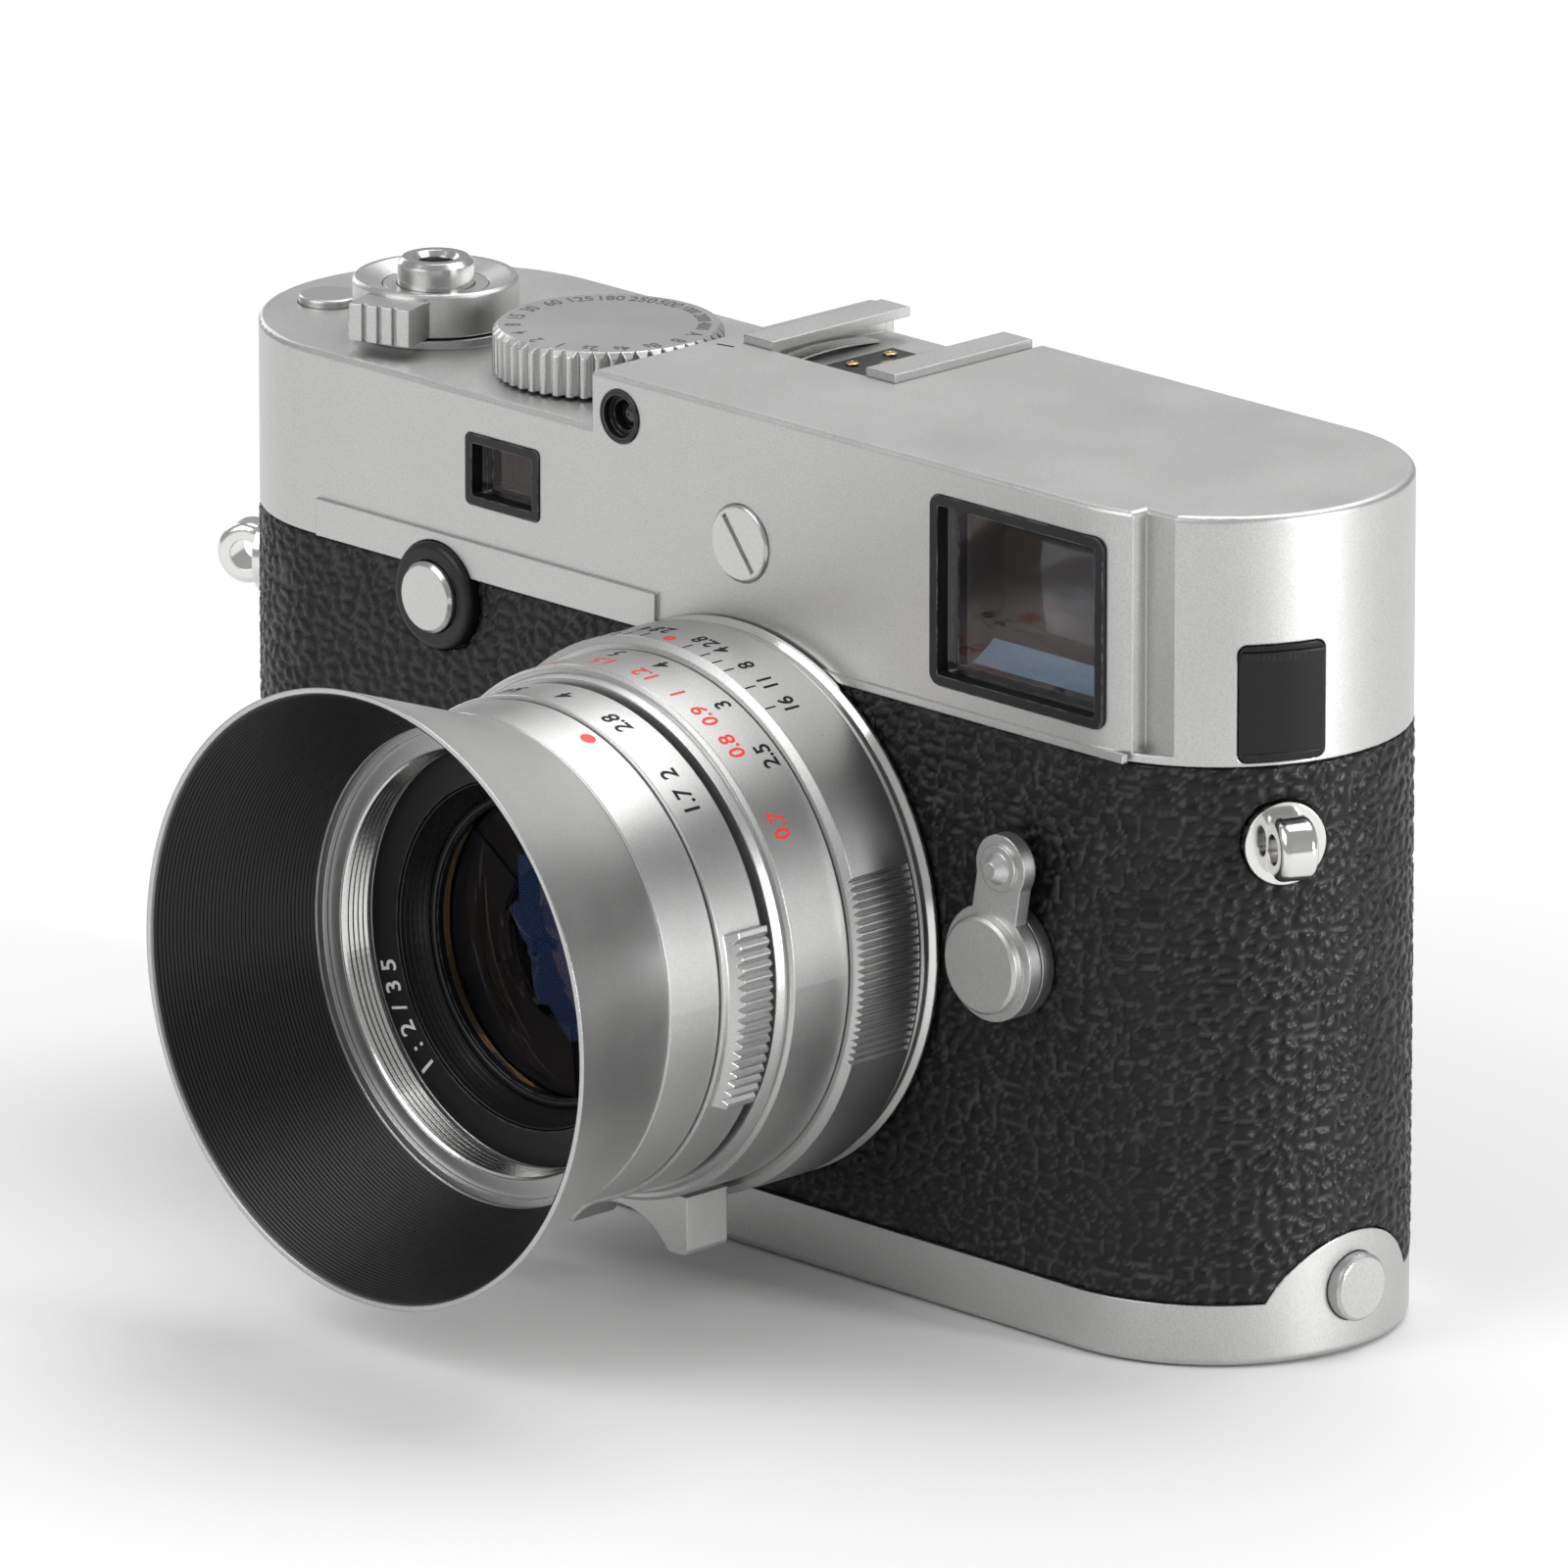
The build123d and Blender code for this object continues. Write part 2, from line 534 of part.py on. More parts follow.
def cover_openings():
    tools = [
        rod_y(LENS_X, LENS_Z, MOUNT_TUBE_RADIUS + SKIN_GAP, FRONT - 1, FRONT + 3),
        rod_y(FOCUS_BUTTON_X, FOCUS_BUTTON_Z, FOCUS_BEZEL_RADIUS + SEAM, FRONT - 1, FRONT + 3),
        window_prism(FINDER_WINDOW, FINDER_CORNER, SEAM / 2, FRONT - 1, FRONT + 3),
        window_prism(RANGE_WINDOW, RANGE_CORNER, SEAM / 2, FRONT - 1, FRONT + 3),
        rod_y(SENSOR_WINDOW_X, SENSOR_WINDOW_Z, SENSOR_WINDOW_RADIUS + SEAM / 2, FRONT - 1, FRONT + 3),
        rod_y(LENS_X, COVER_SCREW_Z, COVER_SCREW_RADIUS + SEAM / 2, FRONT - 1, FRONT + 0.5),
        rod_y(LENS_X, COVER_SCREW_Z, 1.55, FRONT - 1, FRONT + 3),
        rod_z(RELEASE_X, RELEASE_Y, RELEASE_CORE_RADIUS - 0.5, LOW_DECK - 3, LOW_DECK + 1),
        rod_z(DIAL_X, DIAL_Y, 2.6, LOW_DECK - 3, LOW_DECK + 1),
        rod_z(VIDEO_X, VIDEO_Y, VIDEO_RADIUS + SEAM, LOW_DECK - 3, LOW_DECK + 1),
        rod_z(WHEEL_X, wheel_y(), 1.28, WHEEL_Z, LOW_DECK - COVER_WALL - 1),
        rod_z(WHEEL_X, wheel_y(), WHEEL_RADIUS + 0.4, WHEEL_Z - WHEEL_THICKNESS / 2 - 0.3,
              WHEEL_Z + WHEEL_THICKNESS / 2 + 0.3),
        block((SHOE_X - SHOE_WIDTH / 2 - SEAM, SHOE_X + SHOE_WIDTH / 2 + SEAM),
              (SHOE_FRONT_Y - SEAM, BACK + 1), (SHOE_BOTTOM - SEAM / 2, HIGH_DECK + 1)),
        rod_y(EYEPIECE_X, EYEPIECE_Z, EYEPIECE_RADIUS - 0.9, BACK - 3, BACK + 1),
        port_prism(SEAM, 0, BODY_DEPTH),
    ]
    return tools


def wheel_y():
    """Thumb wheel axle, set so that the rim stands proud of the back."""
    return BACK + WHEEL_PROUD - WHEEL_RADIUS


def window_prism(window, corner, margin, front, rear):
    """Round-cornered prism through a front window, grown by the margin."""
    left, right, bottom, top = window
    width = right - left + 2 * margin
    height = top - bottom + 2 * margin
    sketch = RectangleRounded(width, height, max(corner + margin, 0.2))
    return front_prism((left + right) / 2, (bottom + top) / 2, sketch, front, rear)


# ------------------------------------------------------- windows and finder


def make_bezel(window, corner, rim):
    """Black frame round a window, with a ledge behind its glass."""
    frame = window_prism(window, corner, 0, FRONT - BEZEL_PROUD, FRONT + BEZEL_DEPTH)
    frame -= window_prism(window, corner, -rim, FRONT - 1, FRONT + 2.4)
    frame -= window_prism(window, corner, -rim - 0.8, FRONT, FRONT + BEZEL_DEPTH + 1)
    return frame


def make_glass(window, corner, rim):
    return window_prism(window, corner, -rim - 0.05, FRONT + 1.2, FRONT + 2.35)


def make_window_bezels():
    finder = make_bezel(FINDER_WINDOW, FINDER_CORNER, FINDER_RIM)
    return Compound(children=[finder, make_bezel(RANGE_WINDOW, RANGE_CORNER, RANGE_RIM)])


def make_window_glasses():
    finder = make_glass(FINDER_WINDOW, FINDER_CORNER, FINDER_RIM)
    return Compound(children=[finder, make_glass(RANGE_WINDOW, RANGE_CORNER, RANGE_RIM)])


def make_light_sensor():
    sensor = rod_y(SENSOR_WINDOW_X, SENSOR_WINDOW_Z, SENSOR_WINDOW_RADIUS, FRONT - BEZEL_PROUD, FRONT + 2.9)
    sensor -= rod_y(SENSOR_WINDOW_X, SENSOR_WINDOW_Z, SENSOR_WINDOW_RADIUS - 0.5, FRONT - 1, FRONT + 0.7)
    sensor -= rod_y(SENSOR_WINDOW_X, SENSOR_WINDOW_Z, SENSOR_WINDOW_RADIUS - 1.1, FRONT - 1, FRONT + 1.8)
    return sensor


def make_cover_screw():
    head = rod_y(LENS_X, COVER_SCREW_Z, COVER_SCREW_RADIUS, FRONT - 0.35, FRONT + 0.45)
    head = fillet(head.edges().group_by(Axis.Y)[0], 0.3)
    slot = front_prism(LENS_X, COVER_SCREW_Z, Rot(0, 0, -52) * Rectangle(6.2, 0.55), FRONT - 1, FRONT + 0.1)
    shank = rod_y(LENS_X, COVER_SCREW_Z, 1.5, FRONT + 0.45, FRONT + 4.5)
    return head + shank - slot


def make_rangefinder_frame():
    right = FINDER_WINDOW[1] - 0.5
    left = RANGE_WINDOW[0] + 1.0
    frame = block((left, right), (FRAME_FRONT, FRAME_REAR), (FRAME_BOTTOM, FRAME_TOP))
    frame += block((left, left + 4), (FRAME_FRONT - 1.2, FRAME_FRONT + 3), (CHASSIS_TOP, FRAME_TOP))
    frame += block((right - 4, right), (FRAME_FRONT - 1.2, FRAME_FRONT + 3), (CHASSIS_TOP, FRAME_TOP))
    ear_gap = ARM_WIDTH / 2 + 0.15
    ears = block((LENS_X - ear_gap - 1, LENS_X + ear_gap + 1), (ARM_PIVOT_Y - 1.6, ARM_PIVOT_Y + 1.6),
                 (FRAME_TOP, ARM_PIVOT_Z + 1.6))
    frame += ears
    frame -= block((LENS_X - ear_gap, LENS_X + ear_gap), (FRAME_FRONT - 1, ARM_PIVOT_Y + 2.6),
                   (FRAME_BOTTOM - 1, ARM_PIVOT_Z + 2))
    frame += rod_x(ARM_PIVOT_Y, ARM_PIVOT_Z, PIVOT_RADIUS, LENS_X - ear_gap - 1, LENS_X + ear_gap + 1)
    return frame


def make_rangefinder_arm():
    half = ARM_WIDTH / 2
    depth = (ARM_PIVOT_Y - 0.6, ARM_PIVOT_Y + 0.6)
    arm = block((LENS_X - half, LENS_X + half), depth, (ROLLER_Z, ARM_PIVOT_Z))
    arm += rod_x(ARM_PIVOT_Y, ARM_PIVOT_Z, 1.5, LENS_X - half, LENS_X + half)
    arm += rod_x(ARM_PIVOT_Y, ROLLER_Z, ROLLER_RADIUS, LENS_X - half, LENS_X + half)
    arm -= rod_x(ARM_PIVOT_Y, ARM_PIVOT_Z, PIVOT_RADIUS + 0.05, LENS_X - 5, LENS_X + 5)
    return arm


def make_finder_prisms():
    """Viewfinder block behind the large window and rangefinder prism behind the small one."""
    front = FRONT + BEZEL_DEPTH + 0.3
    left, right, _, top = FINDER_WINDOW
    finder = block((left + 1.4, right - 0.9), (front, BACK - COVER_WALL - 0.6), (FRAME_TOP + 0.02, top - 0.8))
    left, right, _, top = RANGE_WINDOW
    rangefinder = block((left + 1.4, right - 1.4), (front, FRAME_REAR), (FRAME_TOP + 0.02, top - 0.6))
    return Compound(children=[finder, rangefinder])


# ------------------------------------------------------------ deck controls


def make_release_housing():
    core = RELEASE_CORE_RADIUS
    bore = BUTTON_RADIUS + RUNNING_FIT
    top = RELEASE_TOP - RELEASE_DISH
    points = [
        (bore, LOW_DECK - 2.5), (core - 0.6, LOW_DECK - 2.5), (core - 0.6, LOW_DECK + 0.02),
        (COLLAR_RADIUS, LOW_DECK + 0.02), (COLLAR_RADIUS, LOW_DECK + COLLAR_HEIGHT),
        (core, LOW_DECK + COLLAR_HEIGHT), (core, top), (bore, top),
    ]
    return upright_turned(RELEASE_X, RELEASE_Y, points)


def make_main_switch():
    inner = RELEASE_CORE_RADIUS + RUNNING_FIT
    bottom = LOW_DECK + COLLAR_HEIGHT + 0.2
    points = [
        (inner, bottom), (RELEASE_RADIUS, bottom), (RELEASE_RADIUS, RELEASE_TOP - 0.3),
        (RELEASE_RADIUS - 0.3, RELEASE_TOP), (RELEASE_RADIUS - 0.8, RELEASE_TOP),
        (inner, RELEASE_TOP - RELEASE_DISH),
    ]
    ring = upright_turned(RELEASE_X, RELEASE_Y, points)
    tab = block((RELEASE_CORE_RADIUS + 1.5, SWITCH_TAB_REACH), (-SWITCH_TAB_WIDTH / 2, SWITCH_TAB_WIDTH / 2),
                (bottom, RELEASE_TOP - 0.5))
    pitch = SWITCH_TAB_WIDTH / SWITCH_TAB_RIBS
    for index in range(SWITCH_TAB_RIBS - 1):
        y = -SWITCH_TAB_WIDTH / 2 + pitch * (index + 1)
        tab -= Pos(SWITCH_TAB_REACH, y, (bottom + RELEASE_TOP) / 2) * Box(0.9, 0.5, RELEASE_TOP)
    return ring + Pos(RELEASE_X, RELEASE_Y, 0) * Rot(0, 0, SWITCH_TAB_ANGLE) * tab


def make_shutter_button():
    top = RELEASE_TOP + BUTTON_PROUD
    radius = BUTTON_RADIUS
    points = [
        (0, LOW_DECK - 6), (RELEASE_STEM_RADIUS, LOW_DECK - 6), (RELEASE_STEM_RADIUS, LOW_DECK),
        (radius, LOW_DECK), (radius, top - 0.5),
        (radius - 0.5, top), (CABLE_THREAD_RADIUS + 0.5, top), (CABLE_THREAD_RADIUS, top - 0.5),
        (CABLE_THREAD_RADIUS, top - CABLE_THREAD_DEPTH), (0, top - CABLE_THREAD_DEPTH),
    ]
    return upright_turned(RELEASE_X, RELEASE_Y, points)


def toothed_disc(x, y, radius, depth, teeth, bottom, top):
    """Disc with shallow pointed ridges round its rim."""
    outline = []
    shoulder = radius - 0.1 * depth
    tooth = ((0.0, radius - depth), (0.28, shoulder), (0.5, radius), (0.72, shoulder))
    for index in range(teeth):
        for share, reach in tooth:
            angle = 2 * math.pi * (index + share) / teeth
            outline.append((reach * math.cos(angle), reach * math.sin(angle)))
    plan = make_face(Polyline(*outline, close=True))
    return Pos(x, y, bottom) * extrude(plan, top - bottom)


def make_speed_dial():
    bottom = LOW_DECK + 0.3
    dial = toothed_disc(DIAL_X, DIAL_Y, DIAL_RADIUS, 0.7, DIAL_TEETH, bottom, DIAL_TOP)
    crown = [
        (0, bottom - 1), (DIAL_RADIUS - 0.9, bottom - 1), (DIAL_RADIUS + 1.1, bottom + 1),
        (DIAL_RADIUS + 1.1, DIAL_TOP - 1.7), (DIAL_RADIUS - 0.6, DIAL_TOP), (0, DIAL_TOP),
    ]
    dial &= upright_turned(DIAL_X, DIAL_Y, crown)
    dial += rod_z(DIAL_X, DIAL_Y, 2.5, LOW_DECK - 5, bottom)
    return dial


def make_video_button():
    cap = rod_z(VIDEO_X, VIDEO_Y, VIDEO_RADIUS, LOW_DECK - 3, LOW_DECK + VIDEO_PROUD)
    cap = fillet(cap.edges().group_by(Axis.Z)[-1], 0.3)
    return cap


def make_accessory_shoe():
    left = SHOE_X - SHOE_WIDTH / 2
    right = SHOE_X + SHOE_WIDTH / 2
    rear = SHOE_FRONT_Y + SHOE_LENGTH
    top = HIGH_DECK + SHOE_PROUD
    shoe = block((left, right), (SHOE_FRONT_Y, rear), (SHOE_BOTTOM, top))
    shoe -= block((SHOE_X - SHOE_SLOT_WIDTH / 2, SHOE_X + SHOE_SLOT_WIDTH / 2), (SHOE_FRONT_Y + 1.0, rear + 1),
                  (SHOE_FLOOR, top - SHOE_LIP))
    shoe -= block((SHOE_X - SHOE_LIP_GAP / 2, SHOE_X + SHOE_LIP_GAP / 2), (SHOE_FRONT_Y - 1, rear + 1),
                  (SHOE_FLOOR, top + 1))
    shoe -= contact_block(0, SHOE_FLOOR - CONTACT_DEPTH, SHOE_FLOOR + 1)
    return shoe


def contact_block(margin, bottom, top):
    """Square insulator in the shoe floor, or the pocket that it sits in."""
    half = CONTACT_SIZE / 2 + margin
    middle_y = SHOE_FRONT_Y + CONTACT_SETBACK + CONTACT_SIZE / 2
    return block((SHOE_X - half, SHOE_X + half), (middle_y - half, middle_y + half), (bottom, top))


def make_shoe_contacts():
    pad = contact_block(-SEAM / 2, SHOE_FLOOR - CONTACT_DEPTH, SHOE_FLOOR + SEAM / 2)
    middle_y = SHOE_FRONT_Y + CONTACT_SETBACK + CONTACT_SIZE / 2
    pad += rod_z(SHOE_X, middle_y, 1.2, SHOE_FLOOR, SHOE_FLOOR + 0.2)
    for x, y in ((-2.8, 2.4), (2.8, 2.4), (-2.8, -2.4), (2.8, -2.4)):
        pad += rod_z(SHOE_X + x, middle_y + y, 0.6, SHOE_FLOOR, SHOE_FLOOR + 0.2)
    return pad


# ----------------------------------------------------------- front controls


def make_focus_button_bezel():
    front = FRONT - FOCUS_BEZEL_PROUD
    bezel = rod_y(FOCUS_BUTTON_X, FOCUS_BUTTON_Z, FOCUS_BEZEL_RADIUS, front, CHASSIS_FRONT - 0.02)
    bezel = fillet(bezel.edges().group_by(Axis.Y)[0], 0.7)
    bezel -= rod_y(FOCUS_BUTTON_X, FOCUS_BUTTON_Z, FOCUS_BUTTON_RADIUS + 0.1, front - 1, 0)
    return bezel


def make_focus_button():
    front = FRONT - FOCUS_BUTTON_PROUD
    button = rod_y(FOCUS_BUTTON_X, FOCUS_BUTTON_Z, FOCUS_BUTTON_RADIUS, front, CAVITY_FRONT + 2)
    return chamfer(button.edges().group_by(Axis.Y)[0], 0.35)


def make_frame_lever_base():
    base = rod_y(LEVER_X, LEVER_Z, LEVER_RADIUS, FRONT - LEVER_BASE_PROUD, FRONT - 0.02)
    shaft = rod_y(LEVER_X, LEVER_Z, LEVER_SHAFT_RADIUS, FRONT - 0.02, CAVITY_FRONT + 1.5)
    pin = rod_y(LEVER_X, LEVER_Z, LEVER_PIN_RADIUS, FRONT - LEVER_BASE_PROUD - LEVER_PIN_LENGTH, FRONT)
    return base + shaft + pin


def make_frame_lever():
    rear = FRONT - LEVER_BASE_PROUD - 0.15
    front = rear - LEVER_THICKNESS
    tilt = math.radians(LEVER_TILT)
    tip_x = LEVER_X + LEVER_REACH * math.sin(tilt)
    tip_z = LEVER_Z + LEVER_REACH * math.cos(tilt)
    lever = rod_y(LEVER_X, LEVER_Z, LEVER_RADIUS, front, rear)
    lever += rod_y(tip_x, tip_z, LEVER_TIP_RADIUS, front, rear)
    neck = Pos(0, LEVER_REACH / 2) * Rectangle(2 * LEVER_TIP_RADIUS - 0.6, LEVER_REACH)
    lever += front_prism(LEVER_X, LEVER_Z, Rot(0, 0, -LEVER_TILT) * neck, front, rear)
    cap = rod_y(LEVER_X, LEVER_Z, LEVER_CAP_RADIUS, front - LEVER_CAP_THICKNESS, front)
    lever += chamfer(cap.edges().group_by(Axis.Y)[0], 0.3)
    lever += rod_y(tip_x, tip_z, LEVER_TIP_RADIUS - 0.9, front - 0.4, front)
    boss_profile = make_face(Polyline((0, 0), (1.5, 0), (0.8, 1.1), (0, 1.1), close=True))
    lever += Pos(tip_x, front - 0.4, tip_z) * Rot(90, 0, 0) * revolve(Rot(90, 0, 0) * boss_profile, Axis.Z)
    socket_front = FRONT - LEVER_BASE_PROUD - LEVER_PIN_LENGTH - 0.15
    lever -= rod_y(LEVER_X, LEVER_Z, LEVER_PIN_RADIUS + RUNNING_FIT, socket_front, rear + 1)
    return lever


def make_lens_release_button():
    x, z = lens_point(LENS_RELEASE_ANGLE, LENS_RELEASE_CIRCLE)
    button = rod_y(x, z, LENS_RELEASE_RADIUS, FRONT - LENS_RELEASE_PROUD, FRONT + 0.2)
    button = fillet(button.edges().group_by(Axis.Y)[0], 0.5)
    return button + rod_y(x, z, LENS_RELEASE_SHAFT_RADIUS, FRONT + 0.2, CAVITY_FRONT + 1.5)


# ------------------------------------------------- lugs and port at the ends


def make_strap_lug(angle):
    surface = BODY_DEPTH / 2
    lug = rod_x(0, LUG_Z, LUG_BASE_RADIUS, surface - 1.0, surface + LUG_BASE_THICKNESS)
    lug += rod_x(0, LUG_Z, LUG_SHANK_RADIUS, surface - CHASSIS_INSET - CHASSIS_WALL - 0.5, surface)
    centre = surface + LUG_STANDOFF
    ring = Pos(centre, 0, LUG_Z) * Rot(90, 0, 0) * Cylinder(LUG_RING_RADIUS, LUG_RING_WIDTH)
    ring = fillet(ring.edges().filter_by(GeomType.CIRCLE), 0.8)
    lug += ring
    lug -= Pos(centre, 0, LUG_Z) * Rot(90, 0, 0) * Cylinder(LUG_HOLE_RADIUS, 4 * LUG_BASE_RADIUS)
    return end_place(angle) * lug


def port_prism(margin, inner, outer):
    """Round-cornered opening in the end wall, along the port's direction."""
    width = PORT_WIDTH + 2 * margin
    bottom = PORT_BOTTOM - margin
    top = PORT_BOTTOM + PORT_HEIGHT + margin
    plane = Plane(origin=(inner, 0, (bottom + top) / 2), x_dir=(0, 1, 0), z_dir=(1, 0, 0))
    sketch = plane * RectangleRounded(width, top - bottom, 0.9)
    return end_place(PORT_ANGLE) * extrude(sketch, outer - inner)


def make_port_cover():
    outer = BODY_DEPTH / 2 - 0.05
    wall = rod_z(0, 0, outer, COVER_BOTTOM, HIGH_DECK)
    wall -= rod_z(0, 0, outer - PORT_COVER_THICKNESS, 0, HIGH_DECK)
    return (end_place(PORT_ANGLE) * wall) & port_prism(-0.02, 5, BODY_DEPTH)


def make_port_socket():
    outer = BODY_DEPTH / 2 - COVER_WALL - 0.9
    height_z = PORT_BOTTOM + PORT_HEIGHT / 2
    shell = block((outer - 4.5, outer), (-4.6, 4.6), (height_z - 3.2, height_z + 3.2))
    shell -= block((outer - 3.8, outer + 1), (-3.4, 3.4), (height_z - 1.4, height_z + 1.4))
    shell += block((outer - 3.8, outer - 0.8), (-2.4, 2.4), (height_z - 0.3, height_z + 0.3))
    shell += block((outer - 4.5, outer - 1.5), (-4.6, 4.6), (CHASSIS_TOP, height_z - 3.2))
    return end_place(PORT_ANGLE) * shell


# ------------------------------------------------------ mount and shutter


def make_body_mount_ring():
    profile = [
        (THROAT_RADIUS, FLANGE), (MOUNT_RADIUS - 0.5, FLANGE), (MOUNT_RADIUS, FLANGE + 0.5),
        (MOUNT_RADIUS, FRONT - BAND_PROUD - 0.02), (MOUNT_TUBE_RADIUS, FRONT - BAND_PROUD - 0.02),
        (MOUNT_TUBE_RADIUS, CAVITY_FRONT), (THROAT_RADIUS, CAVITY_FRONT),
    ]
    ring = lens_turned(profile)
    for angle in MOUNT_SCREW_ANGLES:
        x, z = lens_point(angle, MOUNT_SCREW_CIRCLE)
        ring -= rod_y(x, z, MOUNT_SCREW_RADIUS, FLANGE - 1, FLANGE + MOUNT_SCREW_DEPTH)
    return ring


def make_mount_screws():
    screws = []
    for angle in MOUNT_SCREW_ANGLES:
        x, z = lens_point(angle, MOUNT_SCREW_CIRCLE)
        screw = rod_y(x, z, MOUNT_SCREW_RADIUS - 0.02, FLANGE + 0.1, FLANGE + MOUNT_SCREW_DEPTH)
        screw -= block((x - 0.5, x + 0.5), (FLANGE, FLANGE + 0.4), (z - 0.1, z + 0.1))
        screws.append(screw)
    return Compound(children=screws)


def make_throat_tube():
    rear = THROAT_END
    tube = lens_tube(THROAT_RADIUS, THROAT_RADIUS + THROAT_WALL, CAVITY_FRONT + 0.05, rear)
    half = ARM_WIDTH / 2 + 0.6
    tube -= block((LENS_X - half, LENS_X + half), (CAVITY_FRONT - 1, ARM_PIVOT_Y + 5),
                  (LENS_Z, LENS_Z + MOUNT_RADIUS))
    return tube


def leaf_y(layer):
    """Front face of a shutter leaf in a given layer."""
    return THROAT_END + SHUTTER_WALL + LEAF_CLEARANCE / 2 + layer * LEAF_PITCH


def make_shutter_frame():
    half = LEAF_WIDTH / 2 + LEAF_CLEARANCE
    bottom = GATE_BOTTOM - LEAF_HEIGHT - 1.2
    top = GATE_TOP + GATE_HEIGHT + 1.6
    outer = block((LENS_X - half - 2, LENS_X + half + 2), (THROAT_END, SHUTTER_REAR), (CHASSIS_FLOOR, top + 1.5))
    outer -= block((LENS_X - half, LENS_X + half), (THROAT_END + SHUTTER_WALL, SHUTTER_REAR - SHUTTER_WALL),
                   (bottom, top))
    outer -= block((LENS_X - GATE_WIDTH / 2, LENS_X + GATE_WIDTH / 2), (THROAT_END - 1, SHUTTER_REAR + 1),
                   (GATE_BOTTOM, GATE_TOP))
    outer -= rod_z(0, 0, SOCKET_RADIUS + 0.6, 0, BASE_HEIGHT + 0.8)
    return outer


def make_leaf(layer, bottom, height):
    half = LEAF_WIDTH / 2
    return block((LENS_X - half, LENS_X + half), (leaf_y(layer), leaf_y(layer) + LEAF_THICKNESS),
                 (bottom, bottom + height))


def make_image_sensor():
    rear = SHUTTER_REAR + SENSOR_THICKNESS
    carrier = block((LENS_X - 24, LENS_X + 24), (SHUTTER_REAR + 0.05, rear + 1.2), (LENS_Z - 16, LENS_Z + 16))
    carrier -= block((LENS_X - GATE_WIDTH / 2, LENS_X + GATE_WIDTH / 2), (0, rear),
                     (GATE_BOTTOM, GATE_TOP))
    carrier += block((LENS_X - 18, LENS_X + 18), (rear - 0.5, rear), (LENS_Z - 11.5, LENS_Z + 11.5))
    return carrier


def make_main_board():
    front = SHUTTER_REAR + SENSOR_THICKNESS + 1.35
    left = BATTERY_X + BATTERY_WIDTH / 2
    right = END_CENTRE_X + 6.8
    board = block((left, right), (front, front + BOARD_THICKNESS), (CHASSIS_FLOOR + 0.5, CHASSIS_TOP - 1))
    for x, z, width, height in ((left + 8, 30, 12, 12), (right - 16, 20, 14, 10), (right - 14, 44, 9, 9)):
        board += block((x - width / 2, x + width / 2), (front - 1.2, front), (z - height / 2, z + height / 2))
    return board


def battery_box(margin, bottom, top):
    half_x = BATTERY_WIDTH / 2 + margin
    y_front = CAVITY_FRONT + 1.0 - margin
    return block((BATTERY_X - half_x, BATTERY_X + half_x), (y_front, y_front + BATTERY_DEPTH + 2 * margin),
                 (bottom, top))


def make_battery():
    cell = battery_box(0, CHASSIS_BOTTOM + 0.2, CHASSIS_BOTTOM + BATTERY_HEIGHT)
    return fillet(cell.edges().filter_by(Axis.Z), 2.0)


# ---------------------------------------------------------------- rear panel


def display_box(margin, front, rear):
    half_width = DISPLAY_WIDTH / 2 + margin
    half_height = DISPLAY_HEIGHT / 2 + margin
    return block((DISPLAY_X - half_width, DISPLAY_X + half_width), (front, rear),
                 (DISPLAY_Z - half_height, DISPLAY_Z + half_height))


def menu_heights():
    return [DISPLAY_Z + MENU_PITCH * step for step in (1, 0, -1)]


def key_prism(x, z, width, height, margin, front, rear):
    """Rounded key cap or the hole it passes through."""
    sketch = SlotOverall(width + 2 * margin, height + 2 * margin)
    return front_prism(x, z, sketch, front, rear)


def make_back_cover():
    cover = block((-REAR_HALF_WIDTH, REAR_HALF_WIDTH), (CHASSIS_BACK + 0.02, BACK),
                  (BASE_HEIGHT + SKIN_GAP, COVER_BOTTOM - SKIN_GAP))
    cover -= display_box(0.05, BACK - DISPLAY_GLASS, BACK + 1)
    cover -= display_box(-2.0, CHASSIS_BACK - 1, BACK + 1)
    for z in menu_heights():
        cover -= key_prism(MENU_X, z, MENU_WIDTH, MENU_HEIGHT, KEY_CLEARANCE, CHASSIS_BACK - 1, BACK + 1)
    cover -= rod_y(PAD_X, PAD_Z, PAD_RADIUS + PAD_CLEARANCE, CHASSIS_BACK - 1, BACK + 1)
    return cover


def make_display():
    return display_box(0, BACK - DISPLAY_GLASS + 0.02, BACK + 0.1)


def make_menu_button(z):
    cap = key_prism(MENU_X, z, MENU_WIDTH, MENU_HEIGHT, 0, CHASSIS_BACK - 0.2, BACK + KEY_PROUD)
    flange_rear = CHASSIS_BACK - 0.08
    flange = key_prism(MENU_X, z, MENU_WIDTH, MENU_HEIGHT, 0.7, flange_rear - KEY_FLANGE, flange_rear)
    return cap + flange


def make_direction_pad():
    rear = BACK + PAD_PROUD
    points_outer = rod_y(PAD_X, PAD_Z, PAD_RADIUS, CHASSIS_BACK - 0.9, rear)
    pad = fillet(points_outer.edges().group_by(Axis.Y)[-1], 0.5)
    pad += rod_y(PAD_X, PAD_Z, PAD_RADIUS + 0.8, CHASSIS_BACK - 1.1, CHASSIS_BACK - 0.55)
    pad -= rod_y(PAD_X, PAD_Z, SET_RADIUS + 0.35, 0, rear + 1)
    return pad


def make_set_button():
    cap = rod_y(PAD_X, PAD_Z, SET_RADIUS, CAVITY_BACK - 1.5, BACK + PAD_PROUD - 0.1)
    return chamfer(cap.edges().group_by(Axis.Y)[-1], 0.3)


